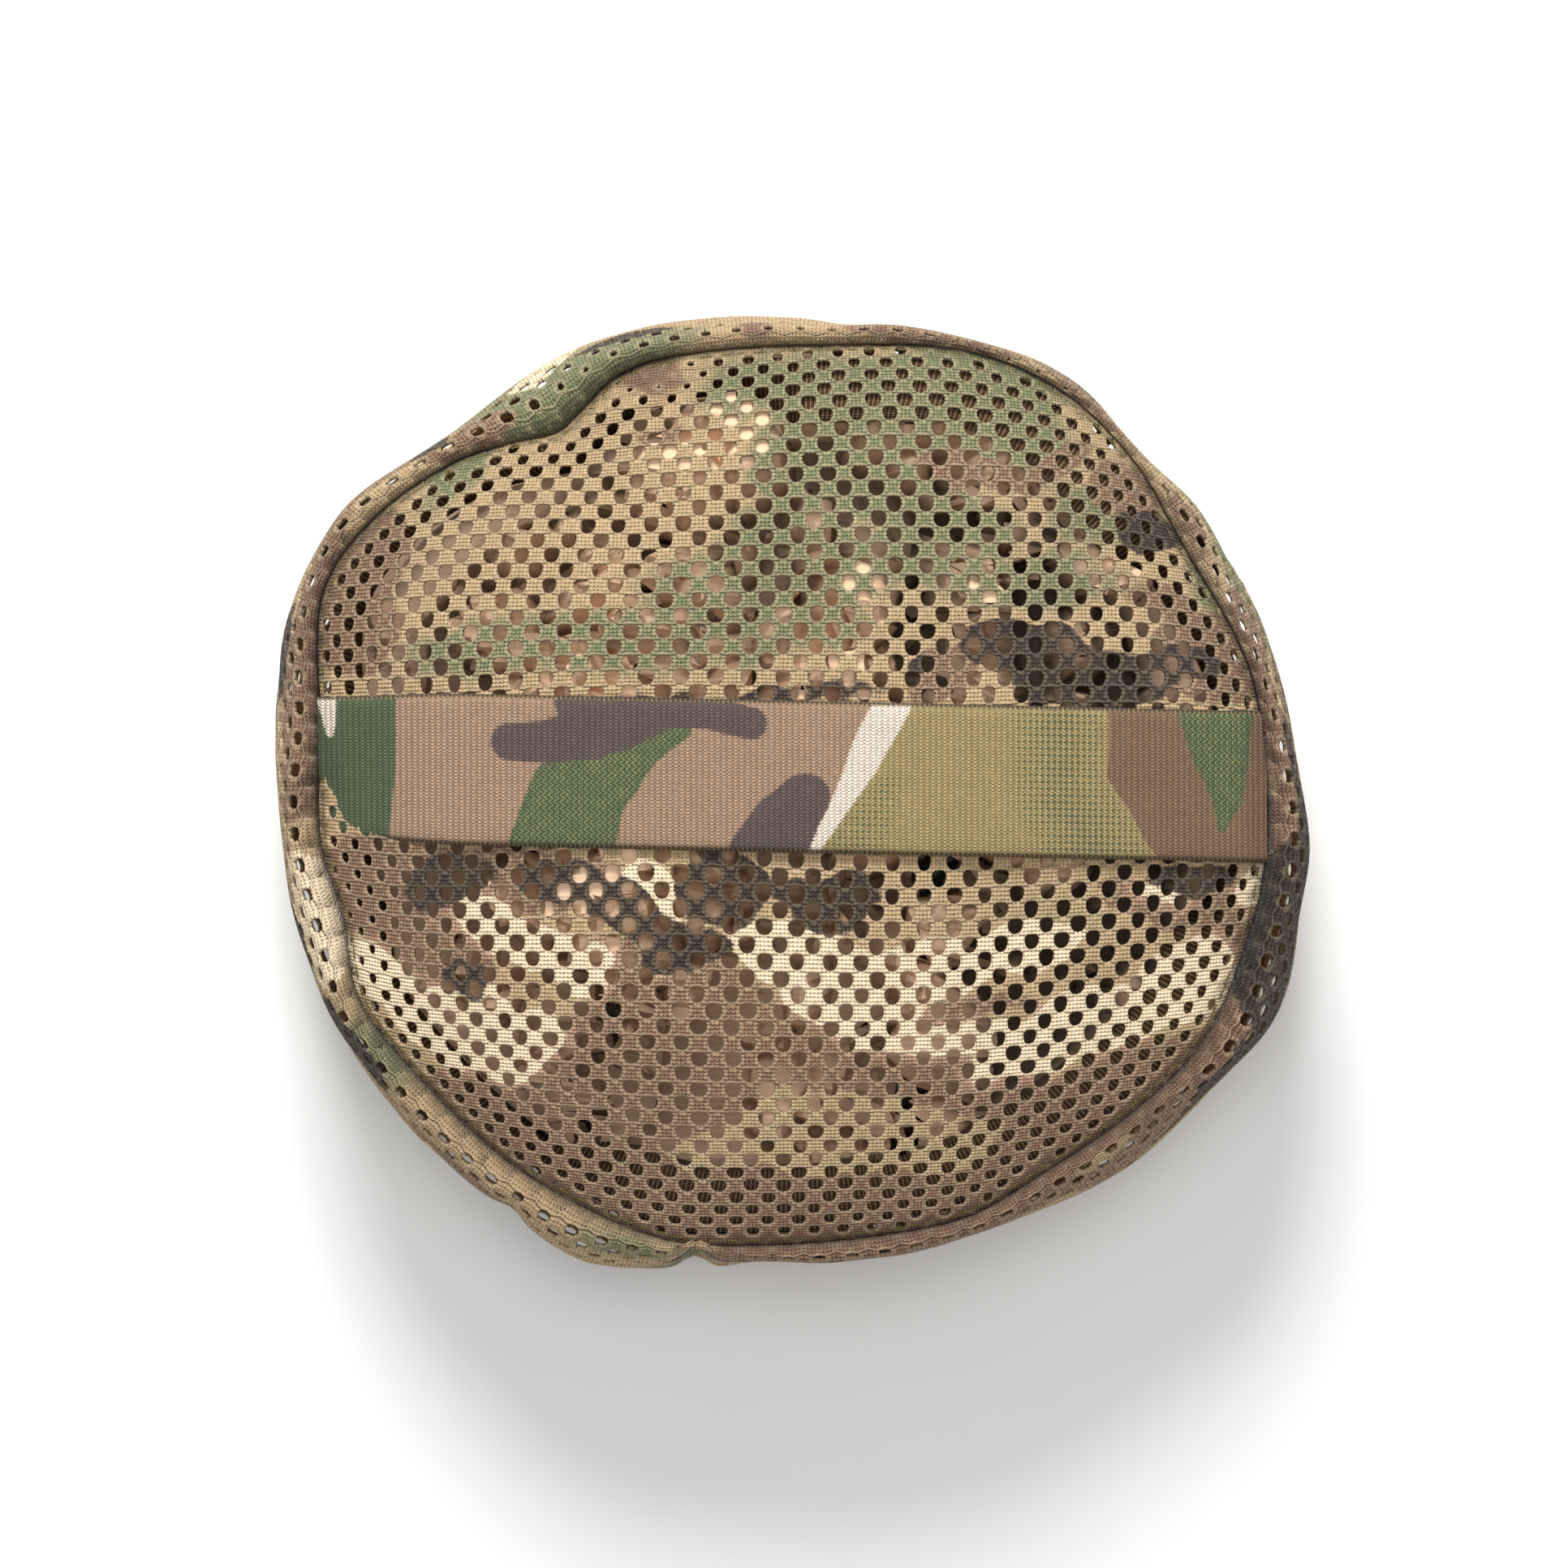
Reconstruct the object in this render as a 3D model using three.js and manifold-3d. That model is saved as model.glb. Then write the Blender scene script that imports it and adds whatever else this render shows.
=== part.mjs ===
// Round camouflage mesh pouch with a webbing strap across its front, filled with crumpled kraft paper.
// It lies on its back panel. Millimetres: +Z out of the front panel, +Y to its top edge, +X to its right.
import * as THREE from "three";
import { mergeVertices } from "three/addons/utils/BufferGeometryUtils.js";
import Module from "manifold-3d";

const wasm = await Module();
wasm.setup();

// Driving dimensions.
const HALF_MESH = 0.45; // half the thickness of the knitted mesh
const GAP = 0.35; // left between pieces that touch
const BACK_SEAM_Z = 4;
const BULGE_Z = 34; // height of the gusset's widest line
const FRONT_SEAM_Z = 50;
const FRONT_CROWN = 13; // rise of the front panel over its seam
const CROWN_POWER = 2.4;
const BACK_TUCK = 7; // how far the back seam sits inside the widest line
const LOW_TUCK = 3.2; // the same for the wall at the two waist heights
const HIGH_TUCK = 0.7;
const LOW_WAIST_Z = 11;
const HIGH_WAIST_Z = 24;
const FLAT_BACK = 0.9; // share of the back panel that lies flat
const BINDING_WIDTH = 11;
const BINDING_THICKNESS = 1;
const THREAD = 0.5;

const STRAP_WIDTH = 25.4;
const STRAP_THICKNESS = 1.4;
const STRAP_HALF_LENGTH = 76.6;
const STRAP_LEFT_Y = 4.4; // the strap's centre line at its two ends
const STRAP_RIGHT_Y = 0.9;

const ZIP_CENTRE = new THREE.Vector2(-1, -19); // the zip lies on a circle about this upright axis
const ZIP_RADIUS = 95;
const ZIP_Z = 18;
const ZIP_HALF_SPAN = 33.5; // degrees each way from the top of the circle
const COIL_HALF_SPAN = 31;
const SLIDER_AT = -27.7; // the closed end
const WINDOW_HALF_HEIGHT = 4.6;
const TAPE_WIDTH = 11;
const TAPE_THICKNESS = 0.55;
const COIL_WIDTH = 2.2;
const COIL_THICKNESS = 1.5;
const HALF_SPLIT = 0.7; // half the space between the two coils

const TOP_STOP_SPAN = 1.2; // degrees
const BOTTOM_STOP_SPAN = 1.7;
const STITCH_OUT = 1.2; // from the window's edge to the thread round it
const STITCH_OUT_SPAN = 1.2; // the same at the window's ends, in degrees

const SLIDER_HALF_LENGTH = 5;
const PLATE_THICKNESS = 1.1;
const PLATE_GAP = 0.5;
const FLANGE_THICKNESS = 0.8;
const BRIDGE_HALF_LENGTH = 3;
const BRIDGE_OPENING = 1.8;
const TAB_HALF_THICKNESS = 0.5;

const PAPER_CLEAR = 5; // from the wall and the front panel to the paper
const PAPER_WAD_EDGES = [-100, -29, 27, 100];
const PAPER_CUT_TURN = -7; // degrees

const AROUND = 60; // steps round a whole outline

// Widest line of the gusset, and the front seam, as seen from the front.
const BULGE_OUTLINE = [
  [-11, 81], [9, 80], [31, 76], [44, 72], [55, 63], [66, 51], [76, 37], [84, 18], [87.7, -4], [87.6, -16],
  [82, -38], [71, -52], [55, -66], [34, -74], [10, -79], [-12, -80.8], [-34, -79.8], [-52, -69], [-68, -55],
  [-80, -37], [-87, -12], [-88, 12], [-86, 30], [-77, 46], [-60, 60], [-42, 73], [-27, 79],
];
const FRONT_SEAM_OUTLINE = [
  [-80, 34], [-80, 10], [-80, -8], [-76, -22], [-74, -35], [-66, -46], [-47, -64], [-22, -76], [-5, -77],
  [17, -75], [30, -72], [42, -65], [58, -54], [69, -43], [76, -28], [80, -12], [80, 6], [77, 22], [66, 42],
  [58, 56], [46, 68], [30, 75], [4, 76], [-16, 75], [-30, 72], [-38, 66], [-47, 61], [-60, 56], [-72, 46],
];

const COLOURS = {
  mesh: 0x8f8460,
  webbing: 0x8b7558,
  binding: 0x5d4c39,
  thread: 0x6f6a3c,
  tape: 0x7c6a4e,
  coil: 0x5f5240,
  metal: 0x3b3934,
  paper: 0xb08a63,
};

const degrees = THREE.MathUtils.degToRad;
const mix = THREE.MathUtils.lerp;

// A closed outline as its radius at an angle about the origin.
function radiusOf(points) {
  const corners = points.map(([x, y]) => new THREE.Vector3(x, y, 0));
  const samples = new THREE.CatmullRomCurve3(corners, true, "centripetal")
    .getPoints(900)
    .map((p) => [Math.atan2(p.y, p.x), Math.hypot(p.x, p.y)])
    .sort((a, b) => a[0] - b[0]);
  return (angle) => {
    const a = Math.atan2(Math.sin(angle), Math.cos(angle));
    const after = samples.findIndex((s) => s[0] > a);
    const [a1, r1] = samples[after > 0 ? after : 0];
    const [a0, r0] = samples[after > 0 ? after - 1 : samples.length - 1];
    const span = a1 - a0;
    return span > 0 ? mix(r0, r1, (a - a0) / span) : r1;
  };
}

const bulgeRadius = radiusOf(BULGE_OUTLINE);
const frontRadius = radiusOf(FRONT_SEAM_OUTLINE);
const backRadius = (angle) => bulgeRadius(angle) - BACK_TUCK;

// Distance from the origin to the zip's circle.
function zipRadius(angle) {
  const along = ZIP_CENTRE.x * Math.cos(angle) + ZIP_CENTRE.y * Math.sin(angle);
  return along + Math.sqrt(ZIP_RADIUS ** 2 - ZIP_CENTRE.lengthSq() + along ** 2);
}

// The wall behind the zip follows its circle, and eases into the pouch's own barrel shape past the ends.
function waistRadius(angle, tuck) {
  const fromTop = Math.abs(Math.atan2(Math.cos(angle), Math.sin(angle)));
  const share = 1 - THREE.MathUtils.smoothstep(fromTop, degrees(46), degrees(64));
  return mix(bulgeRadius(angle) - tuck, zipRadius(angle), share);
}

// Monotone curve through the knots [height, radius], so a stretch with equal radii stays upright.
function through(knots, z) {
  const slopes = knots.slice(1).map(([z1, r1], i) => (r1 - knots[i][1]) / (z1 - knots[i][0]));
  const tangent = (i) => {
    if (i === 0) return slopes[0];
    if (i === slopes.length) return slopes[i - 1];
    const [a, b] = [slopes[i - 1], slopes[i]];
    return a * b <= 0 ? 0 : (2 * a * b) / (a + b);
  };
  const i = Math.max(0, Math.min(slopes.length - 1, knots.findIndex(([z1]) => z1 >= z) - 1));
  const step = knots[i + 1][0] - knots[i][0];
  const t = (z - knots[i][0]) / step;
  const [r0, r1] = [knots[i][1], knots[i + 1][1]];
  return (
    (2 * t ** 3 - 3 * t ** 2 + 1) * r0 +
    (t ** 3 - 2 * t ** 2 + t) * step * tangent(i) +
    (3 * t ** 2 - 2 * t ** 3) * r1 +
    (t ** 3 - t ** 2) * step * tangent(i + 1)
  );
}

function wallRadius(angle, z) {
  const knots = [
    [BACK_SEAM_Z, backRadius(angle)],
    [LOW_WAIST_Z, waistRadius(angle, LOW_TUCK)],
    [HIGH_WAIST_Z, waistRadius(angle, HIGH_TUCK)],
    [BULGE_Z, bulgeRadius(angle)],
    [FRONT_SEAM_Z, frontRadius(angle)],
  ];
  return through(knots, z);
}

const polar = (radius, angle, z) =>
  new THREE.Vector3(radius * Math.cos(angle), radius * Math.sin(angle), z);
const onWall = (angle, z, offset) => polar(wallRadius(angle, z) + offset, angle, z);

// Middle surfaces of the two panels: share runs from 0 at the centre to 1 at the seam.
const frontZ = (share) => FRONT_SEAM_Z + GAP + HALF_MESH + FRONT_CROWN * (1 - share ** CROWN_POWER);
const backZ = (share) => {
  const rise = BACK_SEAM_Z - GAP - 2 * HALF_MESH;
  return HALF_MESH + rise * THREE.MathUtils.smoothstep(share, FLAT_BACK, 1);
};
const onFront = (angle, share, offset) =>
  polar(share * frontRadius(angle), angle, frontZ(share) + offset);
const onBack = (angle, share, offset) => polar(share * backRadius(angle), angle, backZ(share) + offset);

// Geometry from loops of equal, even length: joined end to end, or capped across by pairs of points.
function loft(loops, joined = false) {
  const count = loops[0].length;
  const index = [];
  const quad = (a, b, c, d) => index.push(a, b, c, a, c, d);
  const spans = joined ? loops.length : loops.length - 1;
  for (let i = 0; i < spans; i++) {
    const here = i * count;
    const next = ((i + 1) % loops.length) * count;
    for (let j = 0; j < count; j++) {
      const k = (j + 1) % count;
      quad(here + j, here + k, next + k, next + j);
    }
  }
  const end = (loops.length - 1) * count;
  for (let j = 0; !joined && j < count / 2 - 1; j++) {
    quad(count - 1 - j, count - 2 - j, j + 1, j);
    quad(end + j, end + j + 1, end + count - 2 - j, end + count - 1 - j);
  }
  const geometry = new THREE.BufferGeometry().setFromPoints(loops.flat());
  geometry.setIndex(index);
  if (volumeOf(geometry) < 0) geometry.index.array.reverse();
  return geometry;
}

function volumeOf(geometry) {
  const corner = (i) => new THREE.Vector3().fromBufferAttribute(geometry.attributes.position, i);
  const { array } = geometry.index;
  let sum = 0;
  for (let i = 0; i < array.length; i += 3)
    sum += corner(array[i]).dot(corner(array[i + 1]).cross(corner(array[i + 2])));
  return sum / 6;
}

function toSolid(geometry) {
  const bare = geometry.clone();
  bare.deleteAttribute("normal");
  bare.deleteAttribute("uv");
  const merged = mergeVertices(bare, 1e-4);
  const mesh = new wasm.Mesh({
    numProp: 3,
    vertProperties: new Float32Array(merged.attributes.position.array),
    triVerts: new Uint32Array(merged.index.array),
  });
  return new wasm.Manifold(mesh);
}

function toGeometry(solid) {
  const mesh = solid.getMesh();
  const geometry = new THREE.BufferGeometry();
  geometry.setAttribute("position", new THREE.BufferAttribute(mesh.vertProperties, mesh.numProp));
  geometry.setIndex(new THREE.BufferAttribute(mesh.triVerts, 1));
  return geometry;
}

const joinAll = (geometries) => toGeometry(geometries.map(toSolid).reduce((a, b) => a.add(b)));

// A box from its low and high corners.
function block(low, high) {
  const size = high.map((h, i) => h - low[i]);
  const centre = high.map((h, i) => (h + low[i]) / 2);
  return new THREE.BoxGeometry(...size).translate(...centre);
}

const spread = (from, to, steps) => Array.from({ length: steps + 1 }, (_, i) => mix(from, to, i / steps));
const turns = spread(0, 2 * Math.PI, AROUND).slice(0, AROUND);

// A ring all round the pouch: corners gives the section's points at an angle.
const ring = (corners) => loft(turns.map(corners), true);

// A strip of the zip's circle with a rectangular section; bearings are degrees from the top.
const onZip = (bearing, radius, z) =>
  new THREE.Vector3(
    ZIP_CENTRE.x + radius * Math.sin(degrees(bearing)),
    ZIP_CENTRE.y + radius * Math.cos(degrees(bearing)),
    z,
  );
function zipStrip(from, to, inner, outer, low, high, steps) {
  const section = (b) => [
    onZip(b, ZIP_RADIUS + outer, low),
    onZip(b, ZIP_RADIUS + outer, high),
    onZip(b, ZIP_RADIUS + inner, high),
    onZip(b, ZIP_RADIUS + inner, low),
  ];
  return loft(spread(from, to, steps).map(section));
}

const materials = {};
for (const [name, color] of Object.entries(COLOURS))
  materials[name] = new THREE.MeshStandardMaterial({
    color,
    roughness: name === "metal" ? 0.4 : 0.9,
    metalness: name === "metal" ? 0.9 : 0,
  });

const group = new THREE.Group();
function add(name, geometry, material, parent = group) {
  const mesh = new THREE.Mesh(geometry, materials[material]);
  mesh.name = name;
  parent.add(mesh);
}

// Front panel: a crowned sheet of mesh, flush with the gusset's outer face at the seam.
const panelShares = [0.3, 0.55, 0.75, 0.9];
const rimShare = (angle) => 1 + HALF_MESH / frontRadius(angle);
function frontLoop(share, offset) {
  return turns.map((a) => onFront(a, share ?? rimShare(a), offset));
}
add(
  "front_panel",
  loft([
    ...panelShares.map((s) => frontLoop(s, -HALF_MESH)),
    frontLoop(null, -HALF_MESH),
    frontLoop(null, HALF_MESH),
    ...panelShares.toReversed().map((s) => frontLoop(s, HALF_MESH)),
  ]),
  "mesh",
);

// Gusset: one band of mesh all round, with a window cut for the zip.
const wallHeights = [BACK_SEAM_Z, 7, LOW_WAIST_Z, 17, HIGH_WAIST_Z, 29, BULGE_Z, 42, FRONT_SEAM_Z];
const band = ring((a) => [
  ...wallHeights.map((z) => onWall(a, z, HALF_MESH)),
  ...wallHeights.toReversed().map((z) => onWall(a, z, -HALF_MESH)),
]);
const windowEnds = [-ZIP_HALF_SPAN, ZIP_HALF_SPAN, -6, 6];
const zipWindow = zipStrip(...windowEnds, ZIP_Z - WINDOW_HALF_HEIGHT, ZIP_Z + WINDOW_HALF_HEIGHT, 24);
add("gusset", toGeometry(toSolid(band).subtract(toSolid(zipWindow))), "mesh");

// Back panel: flat where it rests, turned up to the back seam at its rim.
const backShares = [0.5, FLAT_BACK, 0.95, 1];
const backLoop = (share, offset) => turns.map((a) => onBack(a, share, offset));
add(
  "back_panel",
  loft([
    ...backShares.map((s) => backLoop(s, -HALF_MESH)),
    ...backShares.toReversed().map((s) => backLoop(s, HALF_MESH)),
  ]),
  "mesh",
);

// Bindings: folded grosgrain over the seam allowances, turned in flat against each panel.
const bindingOuter = 0.97;
const bindingInner = (radius) => bindingOuter - BINDING_WIDTH / radius;
function bindingSection(place, radius, side) {
  const near = side * (HALF_MESH + GAP);
  const far = side * (HALF_MESH + GAP + BINDING_THICKNESS);
  const shares = spread(bindingOuter, bindingInner(radius), 2);
  return (a) => [
    ...shares.map((s) => place(a, s, near)),
    ...shares.toReversed().map((s) => place(a, s, far)),
  ];
}
const meanRadius = 80;
add("front_seam_binding", ring(bindingSection(onFront, meanRadius, -1)), "binding");
add("back_seam_binding", ring(bindingSection(onBack, meanRadius, 1)), "binding");

// Thread of the two perimeter seams.
function threadSection(place, side) {
  const near = side * (HALF_MESH + GAP);
  const far = side * (HALF_MESH + GAP + THREAD);
  const width = THREAD / meanRadius;
  const inside = 0.98;
  return (a) => [
    place(a, inside, near),
    place(a, inside + width, near),
    place(a, inside + width, far),
    place(a, inside, far),
  ];
}
add("front_seam_stitch", ring(threadSection(onFront, 1)), "thread");
add("back_seam_stitch", ring(threadSection(onBack, -1)), "thread");

// Tape over the gusset's joining seam, inside the wall at the bottom.
const JOIN_ANGLE = degrees(258);
const JOIN_HALF_WIDTH = degrees(3.6);
const joinHeights = [8, 16, 26, BULGE_Z, 44];
add(
  "gusset_join_tape",
  loft(
    spread(JOIN_ANGLE - JOIN_HALF_WIDTH, JOIN_ANGLE + JOIN_HALF_WIDTH, 4).map((a) => [
      ...joinHeights.map((z) => onWall(a, z, -HALF_MESH - 2 * GAP)),
      ...joinHeights.toReversed().map((z) => onWall(a, z, -HALF_MESH - 2 * GAP - BINDING_THICKNESS)),
    ]),
  ),
  "binding",
);

// Strap: flat webbing over the crown of the front panel, from the left seam to the right one.
function strapSection(x) {
  const y = mix(STRAP_LEFT_Y, STRAP_RIGHT_Y, (x / STRAP_HALF_LENGTH + 1) / 2);
  const share = Math.min(1, Math.hypot(x, y) / frontRadius(Math.atan2(y, x)));
  const low = frontZ(share) + HALF_MESH + 2 * GAP;
  const corner = (side, rise) => new THREE.Vector3(x, y + (side * STRAP_WIDTH) / 2, low + rise);
  return [corner(-1, 0), corner(1, 0), corner(1, STRAP_THICKNESS), corner(-1, STRAP_THICKNESS)];
}
const strapStations = spread(-STRAP_HALF_LENGTH, STRAP_HALF_LENGTH, 24);
add("front_strap", loft(strapStations.map(strapSection)), "webbing");

// Zip: two tapes behind the window, a coil on each, and the stops at its ends.
const tapeOuter = -HALF_MESH - 2 * GAP;
const tapeInner = tapeOuter - TAPE_THICKNESS;
const coilInner = tapeOuter + GAP;
const coilOuter = coilInner + COIL_THICKNESS;
const coilEdge = HALF_SPLIT + COIL_WIDTH;
const tapeEnd = ZIP_HALF_SPAN + 1.5;
const stopFrom = COIL_HALF_SPAN + 0.3;
const stopOuter = coilOuter + 0.2;
const ZIP_STEPS = 26;
function angleAt(bearing) {
  const p = onZip(bearing, ZIP_RADIUS, 0);
  return Math.atan2(p.y, p.x);
}
for (const [name, side] of [["upper", 1], ["lower", -1]]) {
  const heights = spread(ZIP_Z + side * HALF_SPLIT, ZIP_Z + side * (HALF_SPLIT + TAPE_WIDTH), 4);
  const tapeLoops = spread(-tapeEnd, tapeEnd, ZIP_STEPS).map((bearing) => [
    ...heights.map((z) => onWall(angleAt(bearing), z, tapeOuter)),
    ...heights.toReversed().map((z) => onWall(angleAt(bearing), z, tapeInner)),
  ]);
  add(`zip_tape_${name}`, loft(tapeLoops), "tape");
  const low = ZIP_Z + Math.min(side * HALF_SPLIT, side * coilEdge);
  const high = low + COIL_WIDTH;
  const coil = zipStrip(-COIL_HALF_SPAN, COIL_HALF_SPAN, coilInner, coilOuter, low, high, ZIP_STEPS);
  add(`zip_coil_${name}`, coil, "coil");
  const stop = zipStrip(-stopFrom - TOP_STOP_SPAN, -stopFrom, coilInner, stopOuter, low, high, 1);
  add(`zip_top_stop_${name}`, stop, "metal");
}
const bottomStop = [stopFrom, stopFrom + BOTTOM_STOP_SPAN, coilInner, stopOuter];
add("zip_bottom_stop", zipStrip(...bottomStop, ZIP_Z - coilEdge, ZIP_Z + coilEdge, 1), "metal");

// Thread round the zip's window, on the outer face of the gusset.
const stitchNear = HALF_MESH + GAP;
const threadSpan = THREE.MathUtils.radToDeg(THREAD / ZIP_RADIUS);
function aroundWindow(inner, outer, grow) {
  const reach = ZIP_HALF_SPAN + STITCH_OUT_SPAN + grow * threadSpan;
  const rise = WINDOW_HALF_HEIGHT + STITCH_OUT + grow * THREAD;
  return toSolid(zipStrip(-reach, reach, inner, outer, ZIP_Z - rise, ZIP_Z + rise, ZIP_STEPS));
}
const stitched = aroundWindow(stitchNear, stitchNear + THREAD, 1);
const unstitched = aroundWindow(0, 3, 0);
add("zip_window_stitch", toGeometry(stitched.subtract(unstitched)), "thread");

// Slider and pull tab, built with x along the zip, y out of the wall and z up.
const outerFace = coilOuter + PLATE_GAP;
const outerTop = outerFace + PLATE_THICKNESS;
const innerFace = tapeInner - PLATE_GAP;
const flangeInner = coilEdge + GAP;
const flangeOuter = flangeInner + FLANGE_THICKNESS;
const bridgeTop = outerTop + BRIDGE_OPENING;
const pinY = outerTop + 0.95;
const WELD = 0.1; // how far joined blocks run into each other

const atSlider = new THREE.Group();
atSlider.position.copy(onZip(SLIDER_AT, ZIP_RADIUS, ZIP_Z));
atSlider.rotation.z = -degrees(SLIDER_AT);
group.add(atSlider);

// A block that reaches half a length and half a height each way from a place along the zip.
function centred(x, halfLength, low, high, halfHeight, z = 0) {
  return block([x - halfLength, low, z - halfHeight], [x + halfLength, high, z + halfHeight]);
}
const flangeMiddle = (flangeInner + flangeOuter) / 2;
const sliderBlocks = [
  centred(0, SLIDER_HALF_LENGTH, outerFace, outerTop, flangeOuter),
  centred(0, SLIDER_HALF_LENGTH, innerFace - PLATE_THICKNESS, innerFace, flangeOuter),
  centred(-3.2, 1.3, innerFace - WELD, outerFace + WELD, HALF_SPLIT / 2),
  centred(0, BRIDGE_HALF_LENGTH + 0.5, bridgeTop, bridgeTop + 0.8, 0.6),
];
for (const side of [-1, 1]) {
  const half = FLANGE_THICKNESS / 2;
  const length = SLIDER_HALF_LENGTH;
  sliderBlocks.push(centred(0, length, tapeOuter + GAP, outerFace + WELD, half, side * flangeMiddle));
  sliderBlocks.push(centred(side * BRIDGE_HALF_LENGTH, 0.5, outerTop - WELD, bridgeTop + WELD, 0.6));
}
add("zip_slider", joinAll(sliderBlocks), "metal", atSlider);

// Pull tab: a stamped plate with an eye round the slider's bridge and a hole near its tip.
const tabShape = new THREE.Shape();
tabShape.moveTo(-TAB_HALF_THICKNESS, -2.4);
tabShape.lineTo(5, -2.4);
tabShape.lineTo(16, -3.2);
tabShape.absarc(16, 0, 3.2, -Math.PI / 2, Math.PI / 2);
tabShape.lineTo(5, 2.4);
tabShape.lineTo(-TAB_HALF_THICKNESS, 2.4);
const eye = new THREE.Path();
eye.moveTo(TAB_HALF_THICKNESS, -1.3);
eye.lineTo(TAB_HALF_THICKNESS, 1.3);
eye.lineTo(4.6, 1.3);
eye.lineTo(4.6, -1.3);
const tipHole = new THREE.Path().absarc(15.5, 0, 1.6, 0, 2 * Math.PI, true);
tabShape.holes.push(eye, tipHole);
const tabDepth = 2 * TAB_HALF_THICKNESS;
const tab = new THREE.ExtrudeGeometry(tabShape, { depth: tabDepth, bevelEnabled: false, curveSegments: 8 });
tab.translate(0, 0, -TAB_HALF_THICKNESS).rotateX(Math.PI / 2).translate(0, pinY, 0);
add("zip_pull_tab", tab, "metal", atSlider);

// Paper: three crumpled wads that fill the pouch, cut from one inner volume.
const crumple = (a, z) => 1.2 * Math.sin(5 * a + 0.21 * z) + 0.8 * Math.sin(11 * a - 0.13 * z);
const paperTurns = turns.filter((_, i) => i % 2 === 0);
function sideLoop(z, inset) {
  return paperTurns.map((a) => polar(wallRadius(a, z) - PAPER_CLEAR - inset + crumple(a, z), a, z));
}
function topLoop(share) {
  return paperTurns.map((a) => onFront(a, share, -PAPER_CLEAR + crumple(2 * a, 40 * share)));
}
const sideLoops = [[5.5, 12], [10, 2], [20, 2], [34, 0], [44, 3]].map(([z, inset]) => sideLoop(z, inset));
const filling = toSolid(loft([...sideLoops, ...[0.84, 0.6, 0.3].map(topLoop)]));
["left", "middle", "right"].forEach((name, i) => {
  const low = [PAPER_WAD_EDGES[i] + GAP, -100, 0];
  const high = [PAPER_WAD_EDGES[i + 1] - GAP, 100, 100];
  const cutter = block(low, high).rotateZ(degrees(PAPER_CUT_TURN));
  add(`paper_wad_${name}`, toGeometry(filling.intersect(toSolid(cutter))), "paper");
});

export default group;
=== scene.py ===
"""Looks of a round camouflage mesh pouch: knitted skin, webbing, bindings, zip and paper filling.

Sizes in the classes are millimetres. Every mesh is made in metres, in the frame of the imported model.
"""

import logging
import math
from collections.abc import Callable, Sequence
from dataclasses import dataclass, field
from enum import Enum
from functools import cached_property

import bpy
import numpy as np
from mathutils.kdtree import KDTree
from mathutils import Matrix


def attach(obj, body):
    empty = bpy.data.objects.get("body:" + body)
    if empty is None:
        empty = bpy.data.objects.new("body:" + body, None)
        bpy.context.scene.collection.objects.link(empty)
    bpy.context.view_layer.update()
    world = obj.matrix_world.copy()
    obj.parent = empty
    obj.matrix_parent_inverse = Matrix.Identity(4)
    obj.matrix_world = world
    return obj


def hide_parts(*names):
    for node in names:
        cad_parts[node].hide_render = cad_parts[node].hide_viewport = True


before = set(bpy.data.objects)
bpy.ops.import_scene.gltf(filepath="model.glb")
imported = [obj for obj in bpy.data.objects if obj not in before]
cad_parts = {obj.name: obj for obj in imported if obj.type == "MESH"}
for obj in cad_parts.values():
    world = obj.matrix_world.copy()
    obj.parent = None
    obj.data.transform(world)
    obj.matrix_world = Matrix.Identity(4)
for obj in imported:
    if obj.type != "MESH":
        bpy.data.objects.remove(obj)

log = logging.getLogger("pouch")
MM = 0.001
MERGE = 1e-6
ROUND_SAMPLES = 1441
POUCH = "pouch"
Array = np.ndarray
Material = bpy.types.Material
Object = bpy.types.Object
Colour = tuple[float, float, float, float]


def tint(red: float, green: float, blue: float) -> Colour:
    """Turns a display colour from 0 to 255 into a linear shader colour.

    Args:
        red: Red share.
        green: Green share.
        blue: Blue share.

    Returns:
        The linear colour, with full alpha.
    """
    levels = [c / 255 for c in (red, green, blue)]
    linear = [c / 12.92 if c <= 0.04045 else ((c + 0.055) / 1.055) ** 2.4 for c in levels]
    return (linear[0], linear[1], linear[2], 1.0)


def ease(value: Array | float, low: float, high: float) -> Array | float:
    """A share that rises smoothly from 0 where the value is low to 1 where it is high."""
    share = np.clip((value - low) / (high - low), 0, 1)
    return share * share * (3 - 2 * share)


def bump_at(offset: Array | float, width: float) -> Array | float:
    """A bell curve: 1 at no offset, fading over width."""
    return np.exp(-((offset / width) ** 2))


def turn_from(angle: Array, degrees: float) -> Array:
    """Signed degrees from a bearing to each angle in radians, the short way round."""
    return (np.degrees(angle) - degrees + 180) % 360 - 180


def spot_at(x: Array, y: Array, middle: tuple[float, float], half: tuple[float, float]) -> Array:
    """A bell over the plane: 1 at its middle, fading over its two half lengths."""
    return bump_at(np.hypot((x - middle[0]) / half[0], (y - middle[1]) / half[1]), 1)


def unit(vectors: Array) -> Array:
    """Vectors brought to a length of 1."""
    return vectors / np.maximum(np.linalg.norm(vectors, axis=-1, keepdims=True), 1e-9)


def equal_turns(count: int) -> Array:
    """Equal steps round a circle, in radians."""
    return np.arange(count) * math.tau / count


def hoop(first: Array, second: Array, sides: int) -> Array:
    """Directions round a thread, turning from the first towards the second."""
    turn = equal_turns(sides)[:, None]
    return np.cos(turn) * first[..., None, :] + np.sin(turn) * second[..., None, :]


def rejoined(row: Array) -> Array:
    """A row of numbers with its first one again at its end."""
    return np.concatenate([row, row[:1]])


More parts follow.
